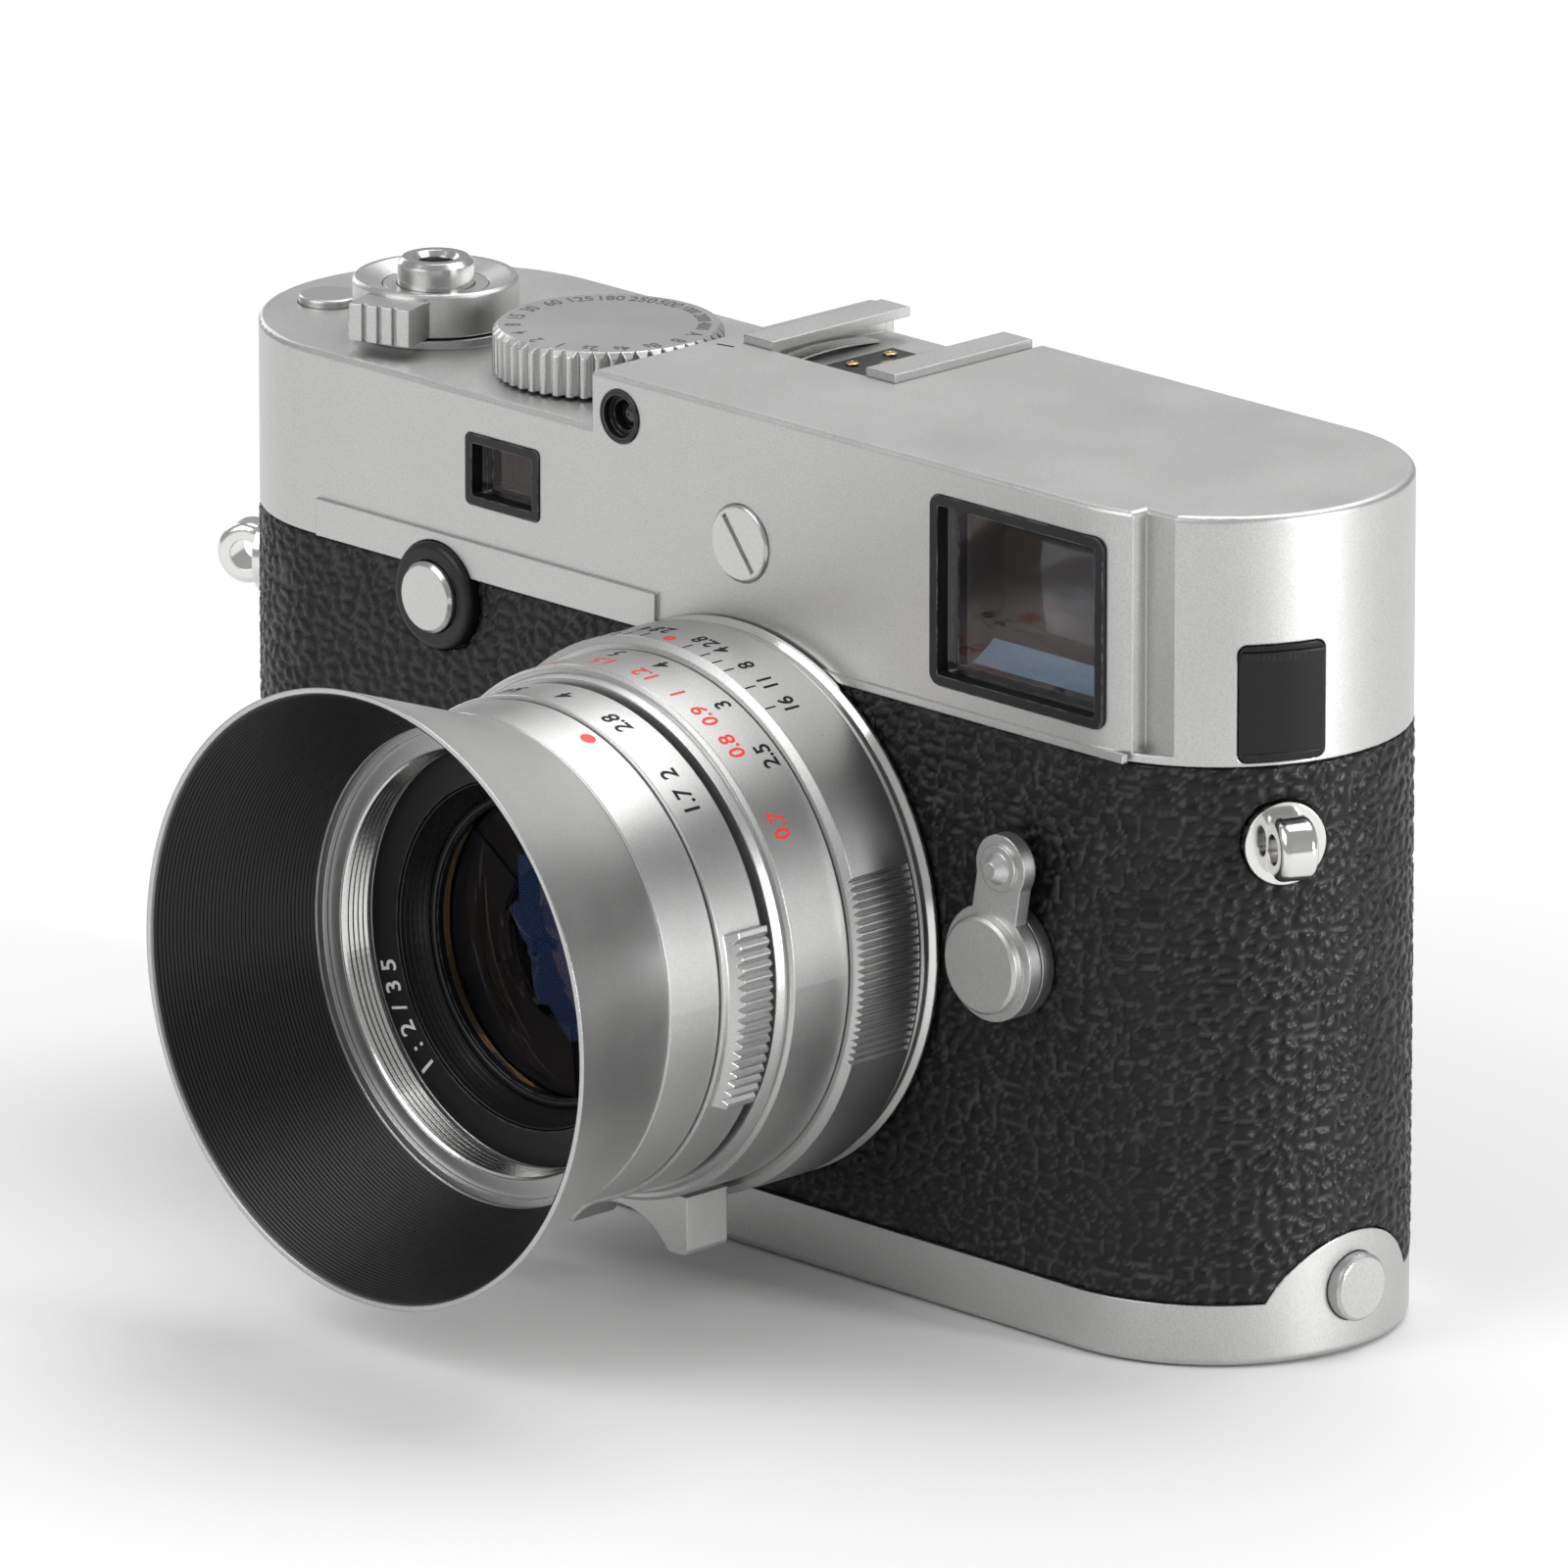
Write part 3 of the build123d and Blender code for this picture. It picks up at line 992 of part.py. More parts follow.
def make_thumb_wheel():
    bottom = WHEEL_Z - WHEEL_THICKNESS / 2
    top = WHEEL_Z + WHEEL_THICKNESS / 2
    wheel = toothed_disc(WHEEL_X, wheel_y(), WHEEL_RADIUS, 0.35, 60, bottom, top)
    return wheel + rod_z(WHEEL_X, wheel_y(), 1.2, bottom, LOW_DECK - COVER_WALL - 1.4)


def make_eyepiece():
    bore = EYEPIECE_RADIUS - 2.6
    rear = BACK + EYEPIECE_PROUD
    ring = rod_y(EYEPIECE_X, EYEPIECE_Z, EYEPIECE_RADIUS, BACK + 0.02, rear)
    ring = fillet(ring.edges().group_by(Axis.Y)[-1], 0.8)
    ring += rod_y(EYEPIECE_X, EYEPIECE_Z, EYEPIECE_RADIUS - 1.0, BACK - 1.1, BACK + 0.02)
    ring -= rod_y(EYEPIECE_X, EYEPIECE_Z, bore, BACK - 2, rear + 1)
    return ring


def make_eyepiece_lens():
    bore = EYEPIECE_RADIUS - 2.6
    return rod_y(EYEPIECE_X, EYEPIECE_Z, bore - 0.03, BACK - 0.8, BACK + EYEPIECE_PROUD - 1.2)


# ---------------------------------------------------------------------- lens


def make_lens_mount():
    end = FLANGE + BAYONET_LENGTH
    profile = [
        (BAYONET_BORE, FLANGE - FLANGE_PLATE), (MOUNT_RADIUS - 0.9, FLANGE - FLANGE_PLATE),
        (MOUNT_RADIUS - 0.5, FLANGE - FLANGE_PLATE + 0.4), (MOUNT_RADIUS - 0.5, FLANGE - 0.02),
        (BAYONET_RADIUS, FLANGE - 0.02), (BAYONET_RADIUS, FLANGE + 1.2),
        (BAYONET_RADIUS - BAYONET_NECK, FLANGE + 1.2), (BAYONET_RADIUS - BAYONET_NECK, end),
        (BAYONET_BORE, end),
    ]
    mount = lens_turned(profile)
    lug_ring = lens_tube(BAYONET_RADIUS - BAYONET_NECK - 0.1, BAYONET_RADIUS, FLANGE + BAYONET_LUG_START, end)
    sector = make_face(Polyline((0, 0), (40, -22), (40, 22), close=True))
    for angle in BAYONET_LUG_ANGLES:
        mount += lug_ring & front_prism(LENS_X, LENS_Z, Rot(0, 0, angle) * sector, FLANGE, end + 1)
    return mount


def make_depth_scale_ring():
    sleeve_front = FOCUS_FRONT + 0.9
    profile = [
        (BARREL_RADIUS + RUNNING_FIT, SCALE_REAR), (SCALE_RADIUS - 0.5, SCALE_REAR), (SCALE_RADIUS, SCALE_REAR - 0.4),
        (SCALE_RADIUS, SCALE_FRONT + 0.6), (SCALE_RADIUS - 0.7, SCALE_FRONT), (SLEEVE_RADIUS, SCALE_FRONT),
        (SLEEVE_RADIUS, sleeve_front), (BARREL_RADIUS + RUNNING_FIT, sleeve_front),
    ]
    ring = lens_turned(profile)
    for middle in (0, 180):
        span = (middle - SCALE_KNURL_SPAN, middle + SCALE_KNURL_SPAN)
        ring -= knurl_grooves(span, SCALE_KNURL_COUNT, SCALE_RADIUS, KNURL_DEPTH, SCALE_FRONT - 1, SCALE_REAR - 0.7)
    return ring


def make_focus_ring():
    lip = FOCUS_FRONT + 1.3
    profile = [
        (SLEEVE_RADIUS + RUNNING_FIT, FOCUS_REAR), (FOCUS_RADIUS, FOCUS_REAR), (FOCUS_RADIUS, lip),
        (FOCUS_RADIUS - 0.35, lip - 0.35), (FOCUS_RADIUS - 0.75, lip - 0.3), (FOCUS_LIP_RADIUS, FOCUS_FRONT),
        (SLEEVE_RADIUS + RUNNING_FIT, FOCUS_FRONT),
    ]
    ring = lens_turned(profile)
    return ring + focus_tab()


def focus_tab():
    """Finger rest under the ring: two legs either side of a hollow arch."""
    front = FOCUS_REAR - 1.0 - TAB_DEPTH
    rear = FOCUS_REAR - 1.0
    root_z = LENS_Z - SLEEVE_RADIUS - 1.2
    half = TAB_WIDTH / 2
    tab = block((TAB_X - half, TAB_X + half), (front, rear), (TAB_BOTTOM, root_z))
    tab = fillet(tab.edges().filter_by(Axis.Y).group_by(Axis.Z)[0], 0.6)
    inner = half - TAB_LEG
    arch_radius = (inner ** 2 + TAB_ARCH ** 2) / (2 * TAB_ARCH)
    tab -= rod_y(TAB_X, TAB_BOTTOM + TAB_ARCH - arch_radius, arch_radius, front - 1, rear + 1)
    tab -= rod_y(LENS_X, LENS_Z, SLEEVE_RADIUS + 0.6, front - 1, rear + 1)
    return tab


def make_front_barrel():
    inner = BARREL_RADIUS - BARREL_WALL
    rear = SCALE_REAR - 1.5
    profile = [
        (FILTER_RADIUS, BARREL_FRONT), (FRONT_RADIUS - 0.15, BARREL_FRONT),
        (FRONT_RADIUS, BARREL_FRONT + 0.15),
        (FRONT_RADIUS, SHOULDER), (BARREL_RADIUS, SHOULDER), (BARREL_RADIUS, rear),
        (CAM_TUBE_RADIUS, rear), (CAM_TUBE_RADIUS, CAM_TUBE_END),
        (CAM_TUBE_RADIUS - CAM_TUBE_WALL, CAM_TUBE_END),
        (CAM_TUBE_RADIUS - CAM_TUBE_WALL, rear - 1.2), (inner, rear - 1.2), (inner, SHOULDER + 2),
        (CELL_RADIUS + 0.1, SHOULDER + 2), (CELL_RADIUS + 0.1, SHOULDER), (inner, SHOULDER),
        (inner, NAME_RING_FRONT - 0.02), (FILTER_RADIUS, NAME_RING_FRONT - 0.02),
    ]
    return lens_turned(profile)


def make_aperture_ring():
    bore = BARREL_RADIUS + RUNNING_FIT
    ring = lens_turned([
        (bore, APERTURE_REAR), (APERTURE_RADIUS - 0.2, APERTURE_REAR), (APERTURE_RADIUS, APERTURE_REAR - 0.2),
        (APERTURE_RADIUS, APERTURE_FRONT + 0.15), (APERTURE_RADIUS - 0.15, APERTURE_FRONT), (bore, APERTURE_FRONT),
    ])
    wing_front = APERTURE_REAR - WING_WIDTH - 0.2
    grip = lens_turned([
        (BARREL_RADIUS + 1.0, APERTURE_REAR - 0.2), (WING_RADIUS, APERTURE_REAR - 0.2), (WING_RADIUS, wing_front),
        (APERTURE_RADIUS - 0.6, APERTURE_FRONT), (BARREL_RADIUS + 1.0, APERTURE_FRONT),
    ])
    for middle in (0, 180):
        start, stop = WING_SPAN if middle == 0 else (180 - WING_SPAN[1], 180 - WING_SPAN[0])
        reach = 2 * WING_RADIUS
        corners = [(0, 0)]
        for angle in (start, (start + stop) / 2, stop):
            corners.append((reach * math.cos(math.radians(angle)), reach * math.sin(math.radians(angle))))
        sector = front_prism(LENS_X, LENS_Z, make_face(Polyline(*corners, close=True)),
                             APERTURE_FRONT - 1, APERTURE_REAR + 1)
        wing = grip & sector
        wing -= knurl_grooves((start + 1, stop - 1), WING_KNURL_COUNT, WING_RADIUS, KNURL_DEPTH,
                              APERTURE_FRONT - 1, APERTURE_REAR + 1)
        ring += wing
    return ring


def make_optical_cell():
    """Black cell that carries the glass, with a cone down to the front element."""
    cone_front = NAME_RING_FRONT + 0.2
    seat = NAME_RING_FRONT + 2.9
    rear = FLANGE + 2.0
    profile = [
        (CELL_BORE, seat), (CELL_BORE + 0.8, seat), (CELL_RADIUS - 0.1, cone_front), (CELL_RADIUS, cone_front),
        (CELL_RADIUS, FLANGE - 8), (REAR_GLASS_RADIUS + 2.5, FLANGE - 3), (REAR_GLASS_RADIUS + 2.5, rear),
        (REAR_GLASS_RADIUS, rear), (REAR_GLASS_RADIUS, FLANGE - 8), (CELL_BORE, FLANGE - 14),
    ]
    return lens_turned(profile)


def make_name_ring():
    return lens_tube(CELL_RADIUS + 0.1, BARREL_RADIUS - BARREL_WALL - 0.05, NAME_RING_FRONT, SHOULDER - 0.05)


def make_lens_elements():
    seat = NAME_RING_FRONT + 3.2
    front = lens_turned([
        (0, seat - 1.4), (5, seat - 1.2), (9, seat - 0.7), (CELL_BORE - 1.6, seat), (CELL_BORE - 0.05, seat + 0.4),
        (CELL_BORE - 0.05, seat + 4), (0, seat + 2.2),
    ])
    middle = lens_turned([(0, FLANGE - 15.6), (CELL_BORE - 0.05, FLANGE - 16.8), (CELL_BORE - 0.05, FLANGE - 14.4),
                          (0, FLANGE - 13.2)])
    rear = lens_turned([
        (0, FLANGE - 4), (REAR_GLASS_RADIUS - 0.05, FLANGE - 5), (REAR_GLASS_RADIUS - 0.05, FLANGE + 0.4),
        (0, FLANGE + 1.4),
    ])
    return Compound(children=[front, middle, rear])


def make_iris_blades():
    """Ten crescents in two layers, set to a middle opening."""
    blades = []
    front = FLANGE - 19.5
    for index in range(10):
        layer = front + 0.3 * (index % 2)
        start = 36 * index
        ring = lens_tube(7.5, CELL_BORE - 0.1, layer, layer + 0.15)
        corners = [(0, 0)]
        for angle in (start, start + 30, start + 60):
            corners.append((30 * math.cos(math.radians(angle)), 30 * math.sin(math.radians(angle))))
        sector = front_prism(LENS_X, LENS_Z, make_face(Polyline(*corners, close=True)), front - 1, front + 2)
        blades.append(ring & sector)
    return Compound(children=blades)


def make_hood():
    rear = BARREL_FRONT - 0.05
    floor = rear - 0.5
    rim = rear - HOOD_LENGTH
    profile = [
        (HOOD_OPENING_RADIUS, rear), (HOOD_REAR_RADIUS, rear), (HOOD_RIM_RADIUS, rim),
        (HOOD_RIM_RADIUS - HOOD_WALL, rim), (HOOD_REAR_RADIUS - HOOD_WALL, floor), (HOOD_OPENING_RADIUS, floor),
    ]
    return lens_turned(profile)


# --------------------------------------------------------------------- parts

PARTS = {
    "chassis": make_chassis,
    "leather_covering": make_leather,
    "base_plate": make_base_plate,
    "tripod_socket": make_tripod_socket,
    "base_key": make_base_key,
    "base_key_bail": make_base_key_bail,
    "base_catch_stud": make_base_catch_stud,
    "top_cover": make_top_cover,
    "cover_screw": make_cover_screw,
    "window_bezels": make_window_bezels,
    "window_glasses": make_window_glasses,
    "light_sensor": make_light_sensor,
    "finder_prisms": make_finder_prisms,
    "rangefinder_frame": make_rangefinder_frame,
    "rangefinder_arm": make_rangefinder_arm,
    "accessory_shoe": make_accessory_shoe,
    "shoe_contacts": make_shoe_contacts,
    "release_housing": make_release_housing,
    "shutter_button": make_shutter_button,
    "main_switch": make_main_switch,
    "speed_dial": make_speed_dial,
    "video_button": make_video_button,
    "port_cover": make_port_cover,
    "port_socket": make_port_socket,
    "strap_lugs": lambda: Compound(children=[make_strap_lug(-LUG_ANGLE), make_strap_lug(180 + LUG_ANGLE)]),
    "focus_button_bezel": make_focus_button_bezel,
    "focus_button": make_focus_button,
    "frame_lever_base": make_frame_lever_base,
    "frame_lever": make_frame_lever,
    "lens_release_button": make_lens_release_button,
    "body_mount_ring": make_body_mount_ring,
    "mount_screws": make_mount_screws,
    "throat_tube": make_throat_tube,
    "shutter_frame": make_shutter_frame,
    "first_curtain_lower": lambda: make_leaf(0, GATE_BOTTOM - 0.2, LEAF_HEIGHT),
    "first_curtain_upper": lambda: make_leaf(1, GATE_TOP + 0.4 - LEAF_HEIGHT, LEAF_HEIGHT),
    "second_curtain": lambda: make_leaf(2, GATE_TOP + 0.3, GATE_HEIGHT + 0.6),
    "image_sensor": make_image_sensor,
    "main_board": make_main_board,
    "battery": make_battery,
    "back_cover": make_back_cover,
    "display_glass": make_display,
    "menu_button_top": lambda: make_menu_button(menu_heights()[0]),
    "menu_button_middle": lambda: make_menu_button(menu_heights()[1]),
    "menu_button_bottom": lambda: make_menu_button(menu_heights()[2]),
    "direction_pad": make_direction_pad,
    "set_button": make_set_button,
    "thumb_wheel": make_thumb_wheel,
    "eyepiece": make_eyepiece,
    "eyepiece_lens": make_eyepiece_lens,
    "lens_mount": make_lens_mount,
    "depth_scale_ring": make_depth_scale_ring,
    "focus_ring": make_focus_ring,
    "front_barrel": make_front_barrel,
    "aperture_ring": make_aperture_ring,
    "optical_cell": make_optical_cell,
    "name_ring": make_name_ring,
    "lens_elements": make_lens_elements,
    "iris_blades": make_iris_blades,
    "hood": make_hood,
}


def main():
    os.makedirs("parts", exist_ok=True)
    for name, build in PARTS.items():
        export_step(build(), f"parts/{name}.step")


main()
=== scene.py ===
import json
import math
import bpy
import numpy as np
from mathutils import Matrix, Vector


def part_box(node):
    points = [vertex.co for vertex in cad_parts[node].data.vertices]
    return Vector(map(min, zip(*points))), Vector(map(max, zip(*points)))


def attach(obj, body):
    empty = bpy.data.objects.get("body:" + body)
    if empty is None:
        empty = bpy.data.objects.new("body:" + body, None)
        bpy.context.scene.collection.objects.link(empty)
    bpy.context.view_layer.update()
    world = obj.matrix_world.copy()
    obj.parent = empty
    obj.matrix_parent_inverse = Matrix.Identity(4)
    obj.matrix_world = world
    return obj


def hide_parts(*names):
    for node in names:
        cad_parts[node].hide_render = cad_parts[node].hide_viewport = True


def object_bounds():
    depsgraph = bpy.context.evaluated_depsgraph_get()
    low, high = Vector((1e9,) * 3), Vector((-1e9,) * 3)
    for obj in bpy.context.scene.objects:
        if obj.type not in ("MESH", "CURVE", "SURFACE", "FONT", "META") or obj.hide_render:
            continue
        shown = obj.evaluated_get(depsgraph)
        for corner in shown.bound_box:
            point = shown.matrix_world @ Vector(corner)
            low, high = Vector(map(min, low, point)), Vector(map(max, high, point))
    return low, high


# Looks for a rangefinder camera: materials, fine visible pieces, lights and camera.
# Lengths below are in millimetres unless a name says otherwise; Blender works in metres.

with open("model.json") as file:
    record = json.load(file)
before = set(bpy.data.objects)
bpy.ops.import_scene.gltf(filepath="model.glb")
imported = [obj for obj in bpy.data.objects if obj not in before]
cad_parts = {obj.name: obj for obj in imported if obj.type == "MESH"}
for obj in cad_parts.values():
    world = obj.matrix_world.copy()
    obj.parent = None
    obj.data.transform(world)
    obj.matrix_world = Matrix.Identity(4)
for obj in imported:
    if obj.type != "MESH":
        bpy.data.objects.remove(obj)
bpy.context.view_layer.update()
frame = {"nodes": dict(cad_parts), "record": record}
nodes = frame["nodes"]
MM = 0.001


def middle(node):
    """Centre of a CAD node's box, in millimetres."""
    low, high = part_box(node)
    return (low + high) / 2 / MM


def span(node):
    """Lowest and highest corner of a CAD node, in millimetres."""
    low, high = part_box(node)
    return low / MM, high / MM


LENS = middle("name_ring")
LENS_X, LENS_Z = LENS.x, LENS.z


# ---------------------------------------------------------------- materials

class Graph:
    """A Principled material with its texture coordinates in the row frame."""

    def __init__(self, name, colour, metallic, roughness, **values):
        self.material = bpy.data.materials.new(name)
        self.material.use_nodes = True
        self.tree = self.material.node_tree
        self.tree.nodes.clear()
        output = self.tree.nodes.new("ShaderNodeOutputMaterial")
        self.shader = self.tree.nodes.new("ShaderNodeBsdfPrincipled")
        self.tree.links.new(self.shader.outputs["BSDF"], output.inputs["Surface"])
        self.shader.inputs["Base Color"].default_value = (*colour, 1.0)
        self.shader.inputs["Metallic"].default_value = metallic
        self.shader.inputs["Roughness"].default_value = roughness
        for key, value in values.items():
            self.shader.inputs[key.replace("_", " ")].default_value = value
        self.coords = self.add("ShaderNodeTexCoord").outputs["Object"]

    def add(self, kind, inputs=None, **settings):
        node = self.tree.nodes.new(kind)
        for key, value in settings.items():
            setattr(node, key, value)
        for key, value in (inputs or {}).items():
            socket = node.inputs[key]
            if isinstance(value, bpy.types.NodeSocket):
                self.tree.links.new(value, socket)
            else:
                socket.default_value = value
        return node

    def math(self, operation, first, second=0.0):
        return self.add("ShaderNodeMath", {0: first, 1: second}, operation=operation).outputs[0]

    def noise(self, scale, detail=2.0, roughness=0.5, vector=None):
        inputs = {"Vector": vector or self.coords, "Scale": scale, "Detail": detail, "Roughness": roughness}
        return self.add("ShaderNodeTexNoise", inputs).outputs["Fac"]

    def ramp(self, value, low, high, to_low=0.0, to_high=1.0):
        inputs = {"Value": value, "From Min": low, "From Max": high, "To Min": to_low, "To Max": to_high}
        return self.add("ShaderNodeMapRange", inputs, interpolation_type="SMOOTHSTEP").outputs["Result"]

    def blend(self, factor, first, second):
        node = self.add("ShaderNodeMix", data_type="RGBA")
        for socket, value in ((node.inputs[0], factor), (node.inputs[6], first), (node.inputs[7], second)):
            if isinstance(value, bpy.types.NodeSocket):
                self.tree.links.new(value, socket)
            elif hasattr(value, "__len__"):
                socket.default_value = (*value, 1.0)
            else:
                socket.default_value = value
        return node.outputs[2]

    def round_coords(self, axis, centre, stretch=0.02):
        """Coordinates that vary across turning marks and hardly along them."""
        parts = self.add("ShaderNodeSeparateXYZ", {"Vector": self.coords}).outputs
        across = [0, 2] if axis == "Y" else [0, 1]
        along = parts[1] if axis == "Y" else parts[2]
        first = self.math("SUBTRACT", parts[across[0]], centre[0] * MM)
        second = self.math("SUBTRACT", parts[across[1]], centre[1] * MM)
        first_square = self.math("MULTIPLY", first, first)
        second_square = self.math("MULTIPLY", second, second)
        radius = self.math("SQRT", self.math("ADD", first_square, second_square))
        turn = self.math("MULTIPLY", self.math("ARCTAN2", first, second), stretch * MM)
        return self.add("ShaderNodeCombineXYZ", {"X": radius, "Y": along, "Z": turn}).outputs["Vector"]

    def edge_mask(self, radius):
        """A rounded normal, and 1 on sharp edges falling to 0 on open faces."""
        bevel = self.add("ShaderNodeBevel", {"Radius": radius * MM}, samples=4).outputs["Normal"]
        flat = self.add("ShaderNodeNewGeometry").outputs["Normal"]
        dot = self.add("ShaderNodeVectorMath", {0: bevel, 1: flat}, operation="DOT_PRODUCT").outputs["Value"]
        return bevel, self.ramp(dot, 0.995, 0.90)

    def bump(self, height, distance, normal=None, strength=1.0):
        inputs = {"Height": height, "Distance": distance * MM, "Strength": strength}
        if normal is not None:
            inputs["Normal"] = normal
        return self.add("ShaderNodeBump", inputs).outputs["Normal"]

    def put(self, socket, value):
        self.tree.links.new(value, self.shader.inputs[socket])


def scaled(colour, gain):
    return tuple(min(1.0, channel * gain) for channel in colour)


def finish(name, colour, metallic, roughness, grain=5200.0, depth=0.004, tone=0.03, rough=0.02,
           edge=0.22, grit=0.5, worn=None, worn_rough=None, turned=None, turned_scale=9000.0,
           dust=0.0, **values):
    """A surface with fine grain, slow tone and gloss changes, rounded worn edges and optional turning marks."""
    g = Graph(name, colour, metallic, roughness, **values)
    normal, mask = g.edge_mask(edge)
    fine = g.noise(grain, 2.0, 0.6)
    slow = g.noise(70.0, 4.0, 0.6)
    speck = g.noise(1500.0, 3.0, 0.7)
    base = g.blend(g.ramp(slow, 0.3, 0.7), scaled(colour, 1 - tone), scaled(colour, 1 + tone))
    base = g.blend(g.ramp(fine, 0.35, 0.70, 0.0, grit), base, scaled(colour, 0.72))
    if dust:
        base = g.blend(g.ramp(speck, 0.62, 0.80, 0.0, dust), base, (0.42, 0.41, 0.40))
    if worn is not None:
        chipped = g.math("MULTIPLY", mask, g.ramp(g.noise(900.0, 3.0, 0.65), 0.38, 0.62))
        base = g.blend(chipped, base, worn)
    g.put("Base Color", base)
    gloss = g.ramp(slow, 0.25, 0.75, roughness - rough, roughness + rough)
    gloss = g.math("ADD", gloss, g.ramp(speck, 0.3, 0.8, -rough / 2, rough / 2))
    if worn_rough is not None:
        gloss = g.add("ShaderNodeMix", {0: mask, 2: gloss, 3: worn_rough}, data_type="FLOAT").outputs[0]
    g.put("Roughness", gloss)
    normal = g.bump(fine, depth, normal)
    if turned:
        marks = g.noise(turned_scale, 3.0, 0.7, g.round_coords(*turned))
        normal = g.bump(marks, depth * 1.1, normal)
    g.put("Normal", normal)
    return g.material


CHROME = (0.60, 0.60, 0.595)
SILVER = (0.58, 0.58, 0.575)
BLACK = (0.012, 0.012, 0.013)
lens_axis = ("Y", (LENS_X, LENS_Z))

materials = {
    "satin_chrome": finish("satin_chrome", CHROME, 1.0, 0.42, depth=0.009, worn_rough=0.22),
    "polished_chrome": finish("polished_chrome", (0.74, 0.735, 0.72), 1.0, 0.13, depth=0.0008, rough=0.03,
                              grit=0.1, worn_rough=0.06),
    "lens_silver": finish("lens_silver", SILVER, 1.0, 0.40, grain=6500.0, depth=0.006, worn_rough=0.20),
    "black_leather": finish("black_leather", BLACK, 0.0, 0.55, depth=0.02),
    "cast_alloy": finish("cast_alloy", (0.10, 0.10, 0.105), 0.6, 0.55, grain=2500.0, depth=0.02),
    "black_metal": finish("black_metal", (0.014, 0.014, 0.015), 0.35, 0.38, worn=(0.20, 0.20, 0.20),
                          dust=0.04),
    "steel": finish("steel", (0.50, 0.50, 0.50), 1.0, 0.30, turned=lens_axis),
    "black_rubber": finish("black_rubber", (0.020, 0.020, 0.021), 0.0, 0.58, grain=4200.0, depth=0.012,
                           worn=(0.06, 0.06, 0.06), dust=0.06),
    "black_plastic": finish("black_plastic", (0.016, 0.016, 0.017), 0.0, 0.42, grain=4800.0, depth=0.008,
                            worn=(0.07, 0.07, 0.07), dust=0.04),
    "circuit_board": finish("circuit_board", (0.02, 0.14, 0.05), 0.0, 0.45, depth=0.006),
    "display": finish("display", (0.006, 0.007, 0.009), 0.0, 0.08, depth=0.0003, rough=0.03, grit=0.2,
                      Specular_IOR_Level=0.35),
}


def glass(name, tint, film, ior=1.6, roughness=0.02):
    """Coated glass: the thin film gives the coloured reflections, and faint smears break them up."""
    g = Graph(name, tint, 0.0, roughness, Transmission_Weight=1.0, IOR=ior, Thin_Film_Thickness=film,
              Thin_Film_IOR=1.38)
    smear = g.noise(260.0, 4.0, 0.6)
    g.put("Roughness", g.ramp(smear, 0.3, 0.8, roughness / 3, roughness * 2))
    g.put("Base Color", g.blend(g.ramp(g.noise(900.0, 2.0), 0.55, 0.8, 0.0, 0.25), tint, scaled(tint, 0.93)))
    g.put("Normal", g.bump(smear, 0.0006))
    return g.material


materials["optical_glass"] = glass("optical_glass", (0.92, 0.95, 1.0), 110.0, 1.5)
lens_glass = glass("lens_glass", (0.66, 0.62, 0.60), 130.0, 1.7, 0.008)

slot_of = {row["node"]: row["material_slot"] for row in frame["record"]["subparts"]}


def wear(node, material):
    """Puts a material in a CAD node's own slot."""
    if nodes[node].material_slots:
        for place in nodes[node].material_slots:
            place.material = material
    else:
        nodes[node].data.materials.append(material)


for node_name, slot_name in slot_of.items():
    wear(node_name, materials[slot_name])

# Parts that were turned on a lathe carry marks round their own axis.
for part, axis in (("speed_dial", "Z"), ("shutter_button", "Z"), ("release_housing", "Z"),
                   ("main_switch", "Z"), ("video_button", "Z"), ("focus_button", "Y"), ("cover_screw", "Y"),
                   ("lens_release_button", "Y"), ("base_key", "Z"), ("frame_lever_base", "Y")):
    heart = middle("shutter_button") if part in ("main_switch", "release_housing") else middle(part)
    pair = (heart.x, heart.y) if axis == "Z" else (heart.x, heart.z)
    bright = part in ("focus_button", "shutter_button", "cover_screw")
    wear(part, finish(part + "_spun", CHROME, 1.0, 0.22 if bright else 0.36, depth=0.003, worn_rough=0.14,
                      turned=(axis, pair), turned_scale=11000.0))
wear("lens_elements", lens_glass)
shutter_grey = finish("shutter_grey", (0.030, 0.030, 0.032), 0.3, 0.45, depth=0.003)
for blade in ("first_curtain_upper", "first_curtain_lower", "second_curtain", "iris_blades"):
    wear(blade, shutter_grey)
wear("throat_tube", finish("throat_black", (0.01, 0.01, 0.01), 0.0, 0.6, depth=0.01))
wear("optical_cell", finish("cell_black", (0.011, 0.011, 0.012), 0.25, 0.34, depth=0.002, turned=lens_axis,
                            worn=(0.12, 0.12, 0.12)))
wear("name_ring", finish("name_ring_black", (0.010, 0.010, 0.011), 0.1, 0.44, depth=0.004, turned=lens_axis,
                         worn=(0.10, 0.10, 0.10)))

paint_black = finish("paint_black", (0.006, 0.006, 0.006), 0.0, 0.5, depth=0.002, edge=0.02, grit=0.2,
                     Specular_IOR_Level=0.2)
paint_red = finish("paint_red", (0.80, 0.040, 0.022), 0.0, 0.42, depth=0.002, edge=0.02)
paint_white = finish("paint_white", (0.75, 0.75, 0.73), 0.0, 0.45, depth=0.002, edge=0.02)
paint_grey = finish("paint_grey", (0.10, 0.10, 0.10), 0.1, 0.45, depth=0.002, edge=0.02)
brass_gold = finish("contact_gold", (0.72, 0.52, 0.20), 1.0, 0.22, depth=0.001, edge=0.05)


# ---------------------------------------------------------------- mesh helpers

